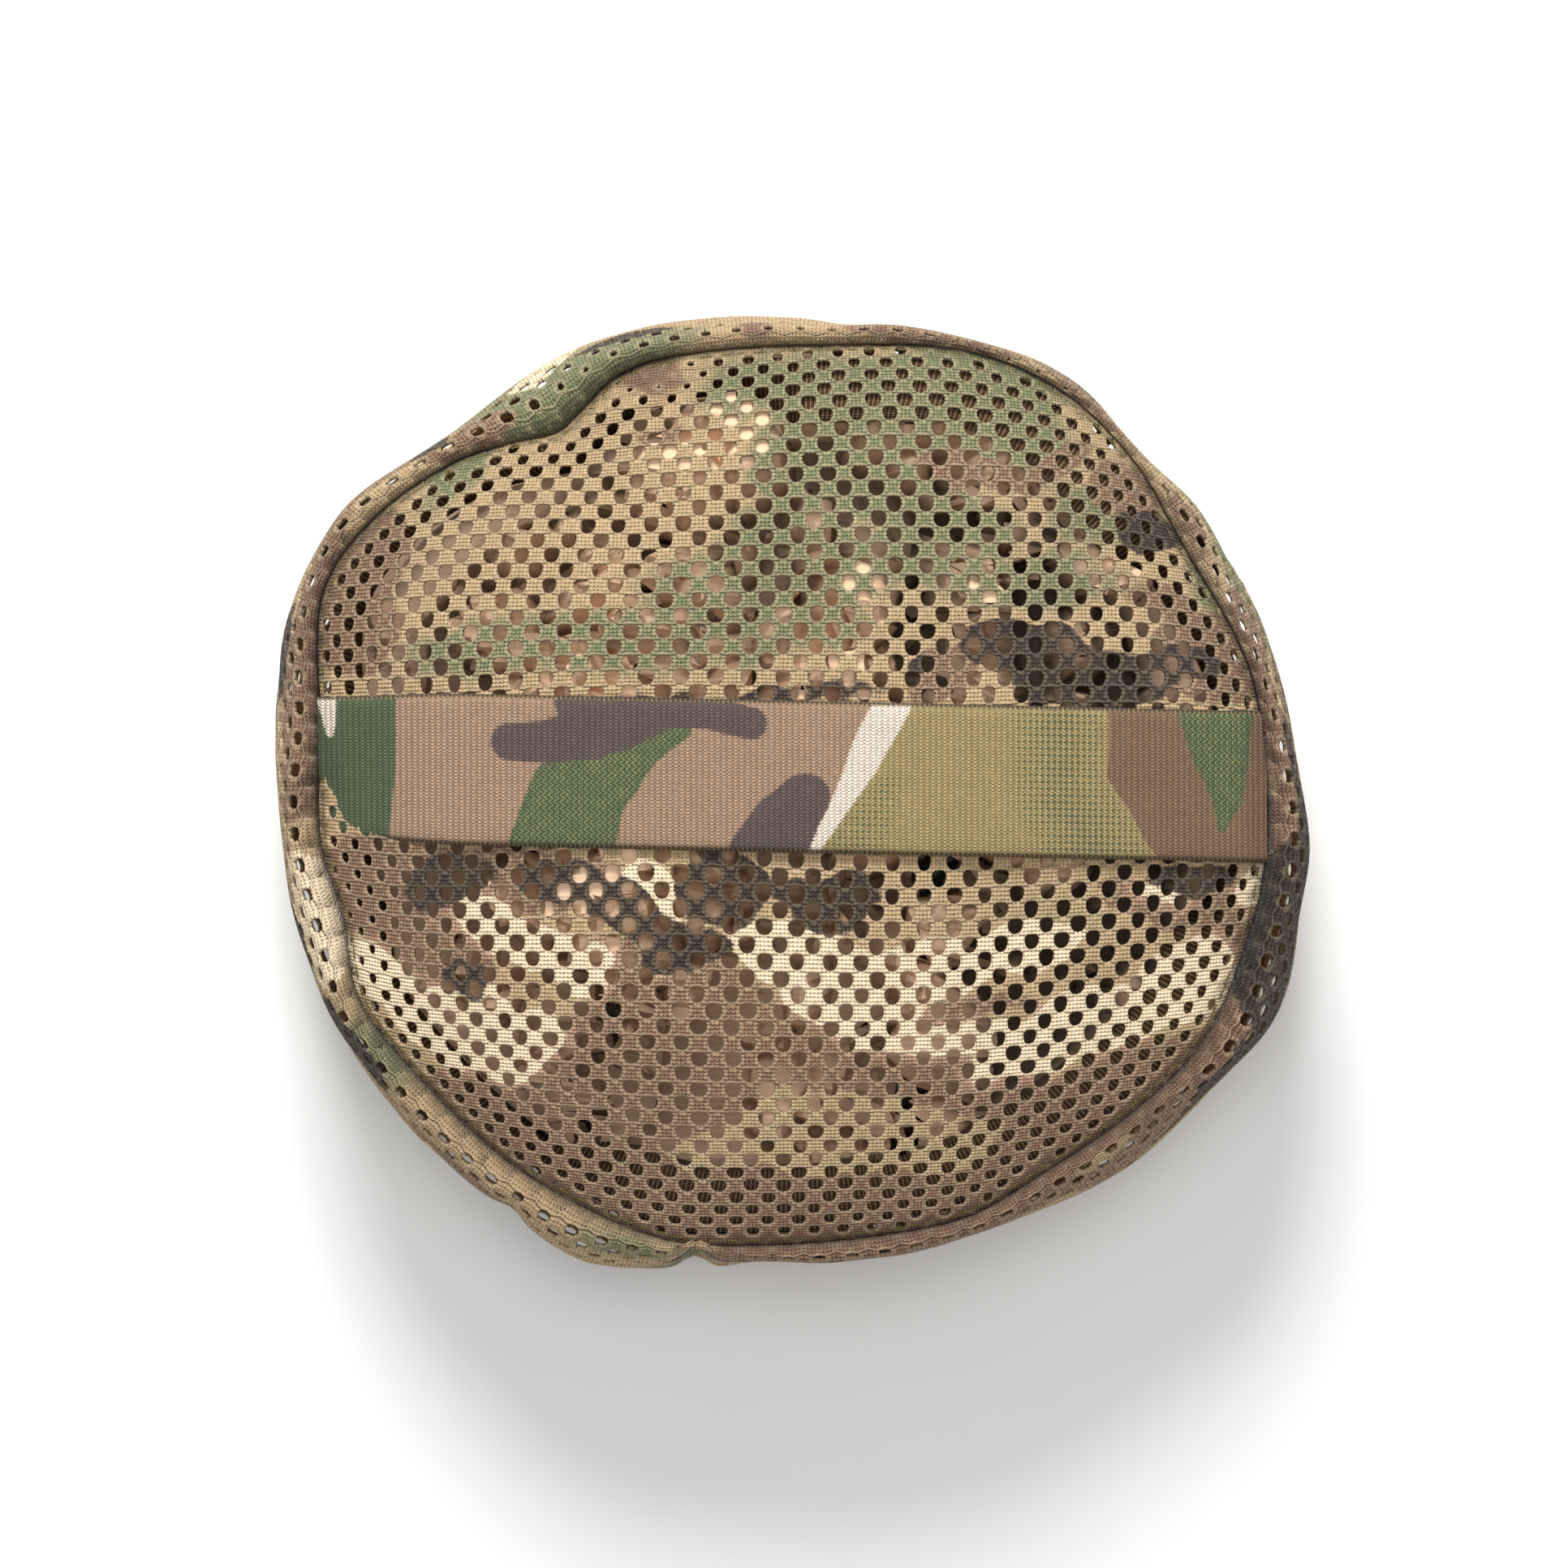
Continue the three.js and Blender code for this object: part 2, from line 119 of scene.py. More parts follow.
def ramp(t: Array, start: Array, end: Array, leaving: Array, arriving: Array) -> Array:
    """A cubic curve from one value to another.

    Args:
        t: Share of the way, from 0 to 1.
        start: Value at 0.
        end: Value at 1.
        leaving: Slope at 0, for the whole way.
        arriving: Slope at 1, for the whole way.

    Returns:
        The curve's values.
    """
    return (
        (2 * t**3 - 3 * t**2 + 1) * start
        + (t**3 - 2 * t**2 + t) * leaving
        + (3 * t**2 - 2 * t**3) * end
        + (t**3 - t**2) * arriving
    )


# ---- shaders


class Wire:
    """A shader socket that takes part in Python arithmetic."""

    def __init__(self, graph: "Graph", socket: bpy.types.NodeSocket) -> None:
        """Wraps one output socket of a graph."""
        self.graph = graph
        self.socket = socket

    def _math(self, operation: str, *values: "Wire | float") -> "Wire":
        """Result of a Math node on wires or numbers, in socket order."""
        return self.graph.add("Math", {"operation": operation}, dict(enumerate(values)))

    def __add__(self, other: "Wire | float") -> "Wire":
        """Sum."""
        return self._math("ADD", self, other)

    def __radd__(self, other: float) -> "Wire":
        """Sum with a number on the left."""
        return self._math("ADD", other, self)

    def __sub__(self, other: "Wire | float") -> "Wire":
        """Difference."""
        return self._math("SUBTRACT", self, other)

    def __rsub__(self, other: float) -> "Wire":
        """Difference with a number on the left."""
        return self._math("SUBTRACT", other, self)

    def __mul__(self, other: "Wire | float") -> "Wire":
        """Product."""
        return self._math("MULTIPLY", self, other)

    def __rmul__(self, other: float) -> "Wire":
        """Product with a number on the left."""
        return self._math("MULTIPLY", other, self)

    def __truediv__(self, other: "Wire | float") -> "Wire":
        """Quotient."""
        return self._math("DIVIDE", self, other)

    def __abs__(self) -> "Wire":
        """Size without its sign."""
        return self._math("ABSOLUTE", self)

    def sine(self) -> "Wire":
        """Sine of the value in radians."""
        return self._math("SINE", self)

    def most(self, other: "Wire | float") -> "Wire":
        """The higher of two values."""
        return self._math("MAXIMUM", self, other)

    def whole(self) -> "Wire":
        """The whole part below the value."""
        return self._math("FLOOR", self)

    def rise(self, low: float, high: float) -> "Wire":
        """A share that rises smoothly from 0 where the value is low to 1 where it is high."""
        settings = {"interpolation_type": "SMOOTHSTEP"}
        return self.graph.add("MapRange", settings, {0: self, 1: low, 2: high})


class Graph:
    """A material whose nodes are written as expressions."""

    def __init__(self, name: str) -> None:
        """Makes an empty material with a Principled shader."""
        self.material = bpy.data.materials.new(name)
        self.material.use_nodes = True
        self.tree = self.material.node_tree
        self.shader = self.tree.nodes["Principled BSDF"]

    def add(self, kind: str, settings: dict | None = None, inputs: dict | None = None, out: int = 0) -> Wire:
        """Adds one node.

        Args:
            kind: Node type, without its first word.
            settings: Its properties, set before the sockets.
            inputs: Values or wires by socket name or number.
            out: Which output to give back.

        Returns:
            The chosen output.
        """
        node = self.tree.nodes.new(f"ShaderNode{kind}")
        for name, value in (settings or {}).items():
            setattr(node, name, value)
        for key, value in (inputs or {}).items():
            if isinstance(value, Wire):
                self.tree.links.new(value.socket, node.inputs[key])
            else:
                node.inputs[key].default_value = value
        return Wire(self, node.outputs[out])

    @cached_property
    def place(self) -> Wire:
        """Object coordinates, in metres."""
        return self.add("TexCoord", out=3)

    def parts(self, vector: Wire) -> tuple[Wire, Wire, Wire]:
        """The three numbers of a vector."""
        split = self.add("SeparateXYZ", None, {0: vector}).socket.node
        return tuple(Wire(self, socket) for socket in split.outputs)

    def layer(self, name: str) -> Wire:
        """A number stored on the piece's vertices."""
        return self.add("Attribute", {"attribute_name": name}, out=2)

    def weave(self) -> tuple[Wire, Wire]:
        """The cloth's own coordinates, from the piece's UV map."""
        across, along, _ = self.parts(self.add("UVMap", {"uv_map": "weave"}))
        return across, along

    def noise(self, scale: float, detail: float) -> Wire:
        """Smooth noise from about -1 to 1, by its cells per metre and its octaves."""
        return self.add("TexNoise", None, {"Vector": self.place, "Scale": scale, "Detail": detail}) * 2 - 1

    def blend(self, share: Wire | float, low: Wire | Colour, high: Wire | Colour, how: str = "MIX") -> Wire:
        """Two colours blended by the share of the second, in the Mix node's way that is named."""
        settings = {"data_type": "RGBA", "blend_type": how}
        return self.add("Mix", settings, {0: share, 6: low, 7: high}, out=2)

    def shade(self, colour: Wire | Colour, share: Wire) -> Wire:
        """A colour made darker or lighter by a number about 1."""
        grey = self.add("CombineColor", None, {0: share, 1: share, 2: share})
        return self.blend(1.0, colour, grey, "MULTIPLY")

    def finish(
        self,
        colour: Wire | Colour,
        roughness: Wire | float,
        height: Wire | None = None,
        depth: float = 0.0,
        **even: float,
    ) -> Material:
        """Wires the shader.

        Args:
            colour: Base colour.
            roughness: Roughness.
            height: Relief from 0 to 1, or None.
            depth: What one unit of relief is worth, in metres.
            **even: Sockets that are the same all over, with underscores for the spaces in their names.

        Returns:
            The material.
        """
        for name, value in {"Base Color": colour, "Roughness": roughness, **even}.items():
            socket = self.shader.inputs[name.replace("_", " ")]
            if isinstance(value, Wire):
                self.tree.links.new(value.socket, socket)
            else:
                socket.default_value = value
        if height is not None:
            relief = self.add("Bump", None, {"Strength": 1.0, "Distance": depth, "Height": height})
            self.tree.links.new(relief.socket, self.shader.inputs["Normal"])
        return self.material


class Tone(Enum):
    """Inks of the printed camouflage, and the vertex layer that holds each one's area."""

    GREEN = "print_green"
    BROWN = "print_brown"
    KHAKI = "print_khaki"
    CREAM = "print_cream"
    DARK = "print_dark"


@dataclass(frozen=True)
class PrintedKnit:
    """Camouflage-printed warp-knit mesh."""

    name: str = "printed_knit"
    ground: Colour = tint(180, 153, 115)
    green: Colour = tint(112, 117, 82)
    brown: Colour = tint(126, 96, 76)
    khaki: Colour = tint(174, 152, 112)
    cream: Colour = tint(240, 218, 184)
    dark: Colour = tint(54, 42, 38)
    pink: Colour = tint(190, 148, 126)
    cord: Colour = tint(220, 196, 158)
    columns: int = 8
    courses: int = 4
    relief: float = 0.0003

    def material(self) -> Material:
        """Makes the material.

        Returns:
            The material, which reads the print layers and the weave map.
        """
        g = Graph(self.name)
        across, along = g.weave()
        # The weave map counts pitches of holes across and rows of them along; each row has one cord.
        uneven = g.noise(260.0, 2.0)
        column = abs((across * (math.pi * self.columns) + uneven * 1.1).sine())
        course = ((along * self.courses + column * 0.3 + uneven * 0.16) * math.tau).sine()
        worn = g.noise(700.0, 1.0)
        pits = (course * -0.9 - column * 1.9 + worn * 0.9).rise(-0.35, 0.65)
        # Crests of the yarn loops, which get a painted highlight below.
        loops = (course + column * 0.8 + worn * 0.9).rise(1.1, 2.1)
        row = along.whole()
        sway = ((across - row * 0.5) * math.tau + math.pi / 2).sine() * 0.085
        cord = 1 - abs(along + sway - row - 0.5).rise(0.02, 0.105)
        fine = g.noise(1700.0, 2.0)
        ragged = g.noise(330.0, 2.0) * 0.5 + course * 0.12 + fine * 0.3
        area = {tone: g.layer(tone.value) + ragged for tone in Tone}
        soft = g.noise(110.0, 3.0) * 1.6
        colour: Wire | Colour = self.ground
        colour = g.blend((area[Tone.GREEN] + soft).rise(-1.7, 1.3), colour, self.green)
        colour = g.blend((area[Tone.BROWN] + soft * 0.35).rise(-0.5, 0.4), colour, self.brown)
        colour = g.blend(area[Tone.KHAKI].rise(-0.4, 0.4), colour, self.khaki)
        halo = area[Tone.CREAM].rise(-2.0, -0.3) * area[Tone.BROWN].rise(-0.5, 0.6) * 0.6
        colour = g.blend(halo, colour, self.pink)
        colour = g.blend(area[Tone.CREAM].rise(-0.18, 0.18), colour, self.cream)
        inked = (area[Tone.DARK] + soft * 0.2).rise(-0.2, 0.2)
        colour = g.blend(inked, colour, self.dark)
        specks = (fine + g.noise(900.0, 1.0) * 0.6).rise(0.25, 0.8)
        # Painted highlight on the rims of the holes, from the lip layer, and on the loop crests; bare mixes
        # it with the pale yarn of the cords and specks.
        lips = g.layer("lip").rise(0.35, 1.0)
        bare = (cord * 0.34).most(lips * 0.34).most(specks * 0.3).most(loops * 0.36)
        colour = g.blend(bare * (1 - inked * 0.6), colour, self.cord)
        # Painted light and shade on the knit: lighter course ridges, darker pits between the loops, and
        # painted shade from the crease layer in the seam grooves.
        light = 1.0 + course * 0.055 + fine * 0.24 + g.noise(60.0, 3.0) * 0.1 - pits * 0.48
        colour = g.shade(colour, light * (1 - g.layer("crease") * 0.6))
        relief = cord * 1.3 + course * 0.25 - pits * 0.6 + fine * 0.4
        sheen = {"Sheen_Weight": 0.1, "Sheen_Roughness": 0.6}
        return g.finish(colour, 0.9, relief, self.relief, Specular_IOR_Level=0.2, **sheen)


class WebTone(Enum):
    """Yarns woven into the strap, and the vertex layer that holds each one's area."""

    UMBER = "web_umber"
    GREEN = "web_green"
    GLINT = "web_glint"
    STIPPLE = "web_stipple"
    OLIVE = "web_olive"
    WHITE = "web_white"
    DARK = "web_dark"


@dataclass(frozen=True)
class JacquardWeb:
    """Camouflage woven into the webbing itself."""

    name: str = "jacquard_web"
    coyote: Colour = tint(172, 140, 114)
    umber: Colour = tint(132, 104, 80)
    green: Colour = tint(84, 98, 68)
    pale_green: Colour = tint(158, 154, 96)
    olive: Colour = tint(166, 148, 100)
    white: Colour = tint(240, 224, 204)
    dark: Colour = tint(98, 82, 78)
    selvedge: Colour = tint(150, 124, 70)
    edge_dark: Colour = tint(72, 54, 38)
    half_width: float = 12.7
    pick_pitch: float = 0.56
    dot_pitch: float = 1.12
    edge_pitch: float = 0.8
    relief: float = 0.0003

    def material(self) -> Material:
        """Makes the material.

        Returns:
            The material, which reads the strap's layers and its weave map in millimetres.
        """
        g = Graph(self.name)
        along, across = g.weave()
        uneven = g.noise(500.0, 2.0)
        rib = (along * math.tau + uneven * 0.7).sine()
        pick = (across * (math.tau / self.pick_pitch) + rib * 0.8 + uneven * 1.4).sine()
        steps = rib * pick * 0.25 + g.noise(900.0, 1.0) * 0.12
        layer = {tone: g.layer(tone.value) + steps for tone in WebTone}
        colour: Wire | Colour = self.coyote
        for tone, yarn in ((WebTone.UMBER, self.umber), (WebTone.OLIVE, self.olive)):
            colour = g.blend(layer[tone].rise(-0.1, 0.1), colour, yarn)
        # Stippled green: one pick in two shows, fewer of them towards the layer's edge.
        rising = ((along + across / self.dot_pitch) * math.pi).sine()
        falling = ((along - across / self.dot_pitch) * math.pi + uneven * 0.5).sine()
        dots = rising * falling
        stipple = (dots + layer[WebTone.STIPPLE] * 0.07).rise(0.42, 0.55)
        colour = g.blend(stipple * layer[WebTone.STIPPLE].rise(-3.0, -1.0) * 0.8, colour, self.green)
        colour = g.blend(layer[WebTone.GREEN].rise(-0.1, 0.1), colour, self.green)
        glint = layer[WebTone.GLINT].rise(-1.5, 2.0) * (abs(dots) + uneven * 0.5).rise(0.5, 0.75)
        colour = g.blend(glint * 0.72, colour, self.pale_green)
        for tone, yarn in ((WebTone.WHITE, self.white), (WebTone.DARK, self.dark)):
            colour = g.blend(layer[tone].rise(-0.1, 0.1), colour, yarn)
        edge = abs(across).rise(self.half_width - 0.8, self.half_width - 0.4)
        wraps = (along * (math.tau / self.edge_pitch)).sine()
        bound = g.blend(wraps.rise(-0.1, 0.5), self.edge_dark, self.selvedge)
        colour = g.blend(edge * 0.85, colour, bound)
        # Painted light and shade on the weave: ribs and floating yarn lighter, the gaps between ribs darker.
        over = (rib * pick).rise(-0.3, 0.8)
        gaps = (rib * -1).rise(0.2, 1.0)
        slub = g.noise(300.0, 2.0) * 0.09 + g.noise(1500.0, 1.0) * 0.2
        sparks = g.noise(1100.0, 1.0).rise(0.3, 0.6)
        colour = g.shade(colour, 0.98 + rib * 0.17 + over * 0.4 - gaps * 0.34 + slub + sparks * 0.24)
        relief = rib * 0.5 + pick * 0.3 + over * 0.7
        sheen = {"Sheen_Weight": 0.1, "Sheen_Roughness": 0.5}
        return g.finish(colour, 0.72 - over * 0.12, relief, self.relief, Specular_IOR_Level=0.3, **sheen)


@dataclass(frozen=True)
class RibbedTape:
    """Grosgrain: ribs across the tape, by its weave map."""

    name: str
    ground: Colour
    rib: Colour
    pitch: float = 0.9
    pick_pitch: float = 0.45
    relief: float = 0.0002

    def material(self) -> Material:
        """Makes the material.

        Returns:
            The material, which reads the weave map in millimetres.
        """
        g = Graph(self.name)
        along, across = g.weave()
        ribs = (along * (math.tau / self.pitch)).sine()
        picks = (across * (math.tau / self.pick_pitch)).sine()
        # Painted highlight: the rib colour lightens the crest of each rib over the darker ground; the picks
        # add painted light and shade.
        colour = g.blend(ribs.rise(0.2, 1.0), self.ground, self.rib)
        colour = g.shade(colour, 0.97 + picks * 0.08 + g.noise(500.0, 2.0) * 0.12)
        return g.finish(colour, 0.8, ribs * 0.7 + picks * 0.3, self.relief, Specular_IOR_Level=0.3)


@dataclass(frozen=True)
class TwillTape:
    """Woven zip tape on a CAD strip, read in object coordinates."""

    name: str = "zip_tape_twill"
    ground: Colour = tint(112, 92, 66)
    light: Colour = tint(158, 136, 100)
    course: float = 0.0007
    wale: float = 0.0009
    relief: float = 0.00015

    def material(self) -> Material:
        """Makes the material.

        Returns:
            The material.
        """
        g = Graph(self.name)
        x, _, z = g.parts(g.place)
        courses = (z * (math.tau / self.course)).sine()
        wales = ((x + z * 0.5) * (math.tau / self.wale)).sine()
        colour = g.blend((courses * wales).rise(-0.2, 0.8), self.ground, self.light)
        colour = g.shade(colour, 1 + g.noise(400.0, 2.0) * 0.1)
        return g.finish(colour, 0.85, courses * 0.4 + wales * 0.6, self.relief, Specular_IOR_Level=0.25)


@dataclass(frozen=True)
class SpunThread:
    """Twisted sewing thread."""

    name: str = "sewing_thread"
    ground: Colour = tint(84, 76, 36)
    light: Colour = tint(132, 120, 64)
    twists: float = 1.6
    relief: float = 0.00008

    def material(self) -> Material:
        """Makes the material.

        Returns:
            The material, with the twist drawn along the weave map.
        """
        g = Graph(self.name)
        along, around = g.weave()
        twist = ((along * self.twists + around) * math.tau).sine()
        colour = g.blend(twist.rise(-0.6, 0.9), self.ground, self.light)
        colour = g.shade(colour, 1 + g.noise(700.0, 1.0) * 0.12)
        return g.finish(colour, 0.6, twist, self.relief, Specular_IOR_Level=0.35)


@dataclass(frozen=True)
class CoilNylon:
    """Nylon monofilament of the zip's coil."""

    name: str = "coil_nylon"
    ground: Colour = tint(104, 86, 62)
    relief: float = 0.00005

    def material(self) -> Material:
        """Makes the material.

        Returns:
            The material.
        """
        g = Graph(self.name)
        drift = g.noise(240.0, 2.0)
        colour = g.shade(self.ground, 1 + drift * 0.12)
        return g.finish(colour, 0.36 + drift * 0.08, drift, self.relief, Specular_IOR_Level=0.5)


@dataclass(frozen=True)
class BlackenedMetal:
    """Cast zip fittings with a dark lacquer, rubbed through in patches."""

    name: str = "blackened_metal"
    lacquer: Colour = tint(46, 44, 42)
    bare: Colour = tint(120, 112, 100)
    relief: float = 0.00003

    def material(self) -> Material:
        """Makes the material.

        Returns:
            The material.
        """
        g = Graph(self.name)
        grain = g.noise(1500.0, 3.0)
        worn = g.noise(500.0, 4.0).rise(0.45, 0.8)
        colour = g.blend(worn * 0.5, self.lacquer, self.bare)
        rough = 0.42 + grain * 0.08 - worn * 0.08
        return g.finish(colour, rough, grain, self.relief, Metallic=0.75, Specular_IOR_Level=0.5)


@dataclass(frozen=True)
class KraftPaper:
    """Brown wrapping paper."""

    name: str = "kraft_paper"
    ground: Colour = tint(226, 192, 160)
    fibre: Colour = tint(176, 144, 110)
    rib_pitch: float = 0.0011
    relief: float = 0.00012

    def material(self) -> Material:
        """Makes the material.

        Returns:
            The material.
        """
        g = Graph(self.name)
        pulp = g.noise(700.0, 5.0)
        specks = g.noise(2400.0, 2.0).rise(0.3, 0.7)
        ribs = (g.parts(g.place)[1] * (math.tau / self.rib_pitch)).sine()
        colour = g.blend(specks * 0.35, self.ground, self.fibre)
        # Painted shade: the depth layer darkens the paper deep in its folds, where light that has bounced off
        # brown paper many times is darker.
        colour = g.shade(colour, (1 + pulp * 0.07 + ribs * 0.025) * (1.14 - g.layer("depth") * 0.88))
        return g.finish(colour, 0.8, pulp * 0.8 + ribs * 0.2, self.relief, Specular_IOR_Level=0.2)


@dataclass(frozen=True)
class StudioFloor:
    """Plain pale floor."""

    name: str = "studio_floor"
    ground: Colour = (0.93, 0.93, 0.925, 1.0)

    def material(self) -> Material:
        """Makes the material."""
        return Graph(self.name).finish(self.ground, 0.9)


# ---- mesh helpers


def mesh_object(name: str, points: Array, faces: Sequence[Sequence[int]]) -> Object:
    """Makes a mesh object at the origin, with smooth shading.

    Args:
        name: Its name.
        points: Vertices in millimetres.
        faces: Vertex numbers of each face.

    Returns:
        The object, linked to the scene.
    """
    mesh = bpy.data.meshes.new(name)
    mesh.from_pydata((np.asarray(points, float) * MM).tolist(), [], [list(f) for f in faces])
    mesh.validate()
    mesh.polygons.foreach_set("use_smooth", [True] * len(mesh.polygons))
    mesh.update()
    made = bpy.data.objects.new(name, mesh)
    bpy.context.scene.collection.objects.link(made)
    return made


def only(piece: Object) -> None:
    """Selects one object and nothing else, and makes it active."""
    bpy.ops.object.select_all(action="DESELECT")
    piece.select_set(True)
    bpy.context.view_layer.objects.active = piece


def apply_modifiers(piece: Object) -> None:
    """Applies every modifier of a piece, in order."""
    only(piece)
    for modifier in list(piece.modifiers):
        bpy.ops.object.modifier_apply(modifier=modifier.name)


def edit_all(piece: Object, *steps: tuple[Callable, dict]) -> None:
    """Runs edit-mode operators on the whole of a piece.

    Args:
        piece: The piece.
        *steps: Mesh operators, each with its settings.
    """
    only(piece)
    bpy.ops.object.mode_set(mode="EDIT")
    bpy.ops.mesh.select_all(action="SELECT")
    for operator, settings in steps:
        operator(**settings)
    bpy.ops.object.mode_set(mode="OBJECT")


def copy_node(node: str, name: str, *steps: tuple[Callable, dict]) -> Object:
    """Copies a CAD node's mesh, and merges its loose triangles before anything else is done to it.

    Args:
        node: The CAD node.
        name: The new piece's name.
        *steps: Mesh operators to run then, each with its settings.

    Returns:
        The piece, linked to the scene.
    """
    piece = bpy.data.objects.new(name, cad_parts[node].data.copy())
    bpy.context.scene.collection.objects.link(piece)
    edit_all(piece, (bpy.ops.mesh.remove_doubles, {"threshold": MERGE}), *steps)
    return piece


def round_edges(piece: Object, width: float, sharp: float = 35.0) -> None:
    """Bevels a piece's sharp edges.

    Args:
        piece: The piece.
        width: Width of the bevel in millimetres.
        sharp: Least angle of a sharp edge, in degrees.
    """
    bevel = piece.modifiers.new("edges", "BEVEL")
    bevel.width, bevel.segments, bevel.limit_method = width * MM, 3, "ANGLE"
    bevel.angle_limit = math.radians(sharp)
    apply_modifiers(piece)


def dress(
    piece: Object, material: Material, node: str, body: str = POUCH
) -> None:
    """Gives a new piece its material, its body and the CAD node that it stands for.

    Args:
        piece: The piece.
        material: Its material.
        node: The CAD node that it replaces.
        body: The body that it moves with.
    """
    piece.data.materials.clear()
    piece.data.materials.append(material)
    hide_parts(node)
    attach(piece, body)
    log.info("%s: %d faces", piece.name, len(piece.data.polygons))


def add_weave(piece: Object, corner_uv: Array) -> None:
    """Stores cloth coordinates, a pair for each face corner, as a piece's weave map."""
    layer = piece.data.uv_layers.new(name="weave")
    layer.data.foreach_set("uv", np.asarray(corner_uv, np.float32).ravel())


def add_layer(piece: Object, name: str, values: Array) -> None:
    """Stores one number for each vertex."""
    layer = piece.data.attributes.new(name, "FLOAT", "POINT")
    layer.data.foreach_set("value", np.asarray(values, np.float32))


@dataclass
class Sweep:
    """Rows of points joined into a strip or a ring, with its weave map in millimetres."""

    loops: Array
    along: Array
    around: Array
    joined: bool = False

    def build(self, name: str) -> Object:
        """Makes the mesh.

        Args:
            name: Its name.

        Returns:
            The object, closed by end caps unless it is joined.
        """
        count, size = self.loops.shape[:2]
        spans = count if self.joined else count - 1
        i, j = np.meshgrid(np.arange(spans), np.arange(size), indexing="ij")
        i, j = i.ravel(), j.ravel()
        near, far, beside = i * size, (i + 1) % count * size, (j + 1) % size
        faces = np.stack([near + j, far + j, far + beside, near + beside], 1)
        u0, u1 = self.along[i], self.along[i + 1]
        w0, w1 = self.around[j], self.around[j + 1]
        uv = np.stack([np.stack(p, 1) for p in ((u0, w0), (u1, w0), (u1, w1), (u0, w1))], 1).reshape(-1, 2)
        listed = faces.tolist()
        if not self.joined:
            last = (count - 1) * size
            listed.append(list(range(size)))
            listed.append([last + k for k in reversed(range(size))])
            uv = np.concatenate([uv, np.zeros((2 * size, 2))])
        made = mesh_object(name, self.loops.reshape(-1, 3), listed)
        add_weave(made, uv)
        return made


class Drift:
    """Seeded smooth noise over the plane, from -1 to 1."""

    SIDE = 64

    def __init__(self, seed: int, scale: float) -> None:
        """Draws the noise's lattice from a seed, with the size of a cell in millimetres."""
        self.grid = np.random.default_rng(seed).uniform(-1, 1, (self.SIDE, self.SIDE))
        self.scale = scale

    def at(self, x: Array, y: Array) -> Array:
        """Reads the noise.

        Args:
            x: First coordinate.
            y: Second coordinate.

        Returns:
            The noise there.
        """
        gx, gy = np.asarray(x, float) / self.scale, np.asarray(y, float) / self.scale
        ix, iy = np.floor(gx).astype(int), np.floor(gy).astype(int)
        fx, fy = ease(gx - ix, 0, 1), ease(gy - iy, 0, 1)
        ix, iy, jx, jy = ix % self.SIDE, iy % self.SIDE, (ix + 1) % self.SIDE, (iy + 1) % self.SIDE
        near = self.grid[ix, iy] * (1 - fx) + self.grid[jx, iy] * fx
        far = self.grid[ix, jy] * (1 - fx) + self.grid[jx, jy] * fx
        return near * (1 - fy) + far * fy


# ---- the pouch's shape


class Outline:
    """A closed curve through corners, read as its radius at an angle about the origin."""

    STEPS = 40

    def __init__(self, corners: Sequence[tuple[float, float]]) -> None:
        """Samples the curve through its corners.

        Args:
            corners: Points in order, in millimetres.
        """
        points = np.array(corners, float)
        count = len(points)
        rows = []
        for i in range(count):
            a, b, c, d = (points[(i + k) % count] for k in (-1, 0, 1, 2))
            before, span, after = (math.sqrt(np.linalg.norm(q - p)) for p, q in ((a, b), (b, c), (c, d)))
            start = span * ((b - a) / before - (c - a) / (before + span) + (c - b) / span)
            end = span * ((c - b) / span - (d - b) / (span + after) + (d - c) / after)
            t = np.linspace(0, 1, self.STEPS, endpoint=False)[:, None]
            rows.append(ramp(t, b, c, start, end))
        curve = np.concatenate(rows)
        angles = np.arctan2(curve[:, 1], curve[:, 0])
        order = np.argsort(angles)
        self.angles = angles[order]
        self.radii = np.hypot(curve[:, 0], curve[:, 1])[order]

    def radius(self, angle: Array) -> Array:
        """Radius at each angle in radians."""
        return np.interp(angle, self.angles, self.radii, period=math.tau)


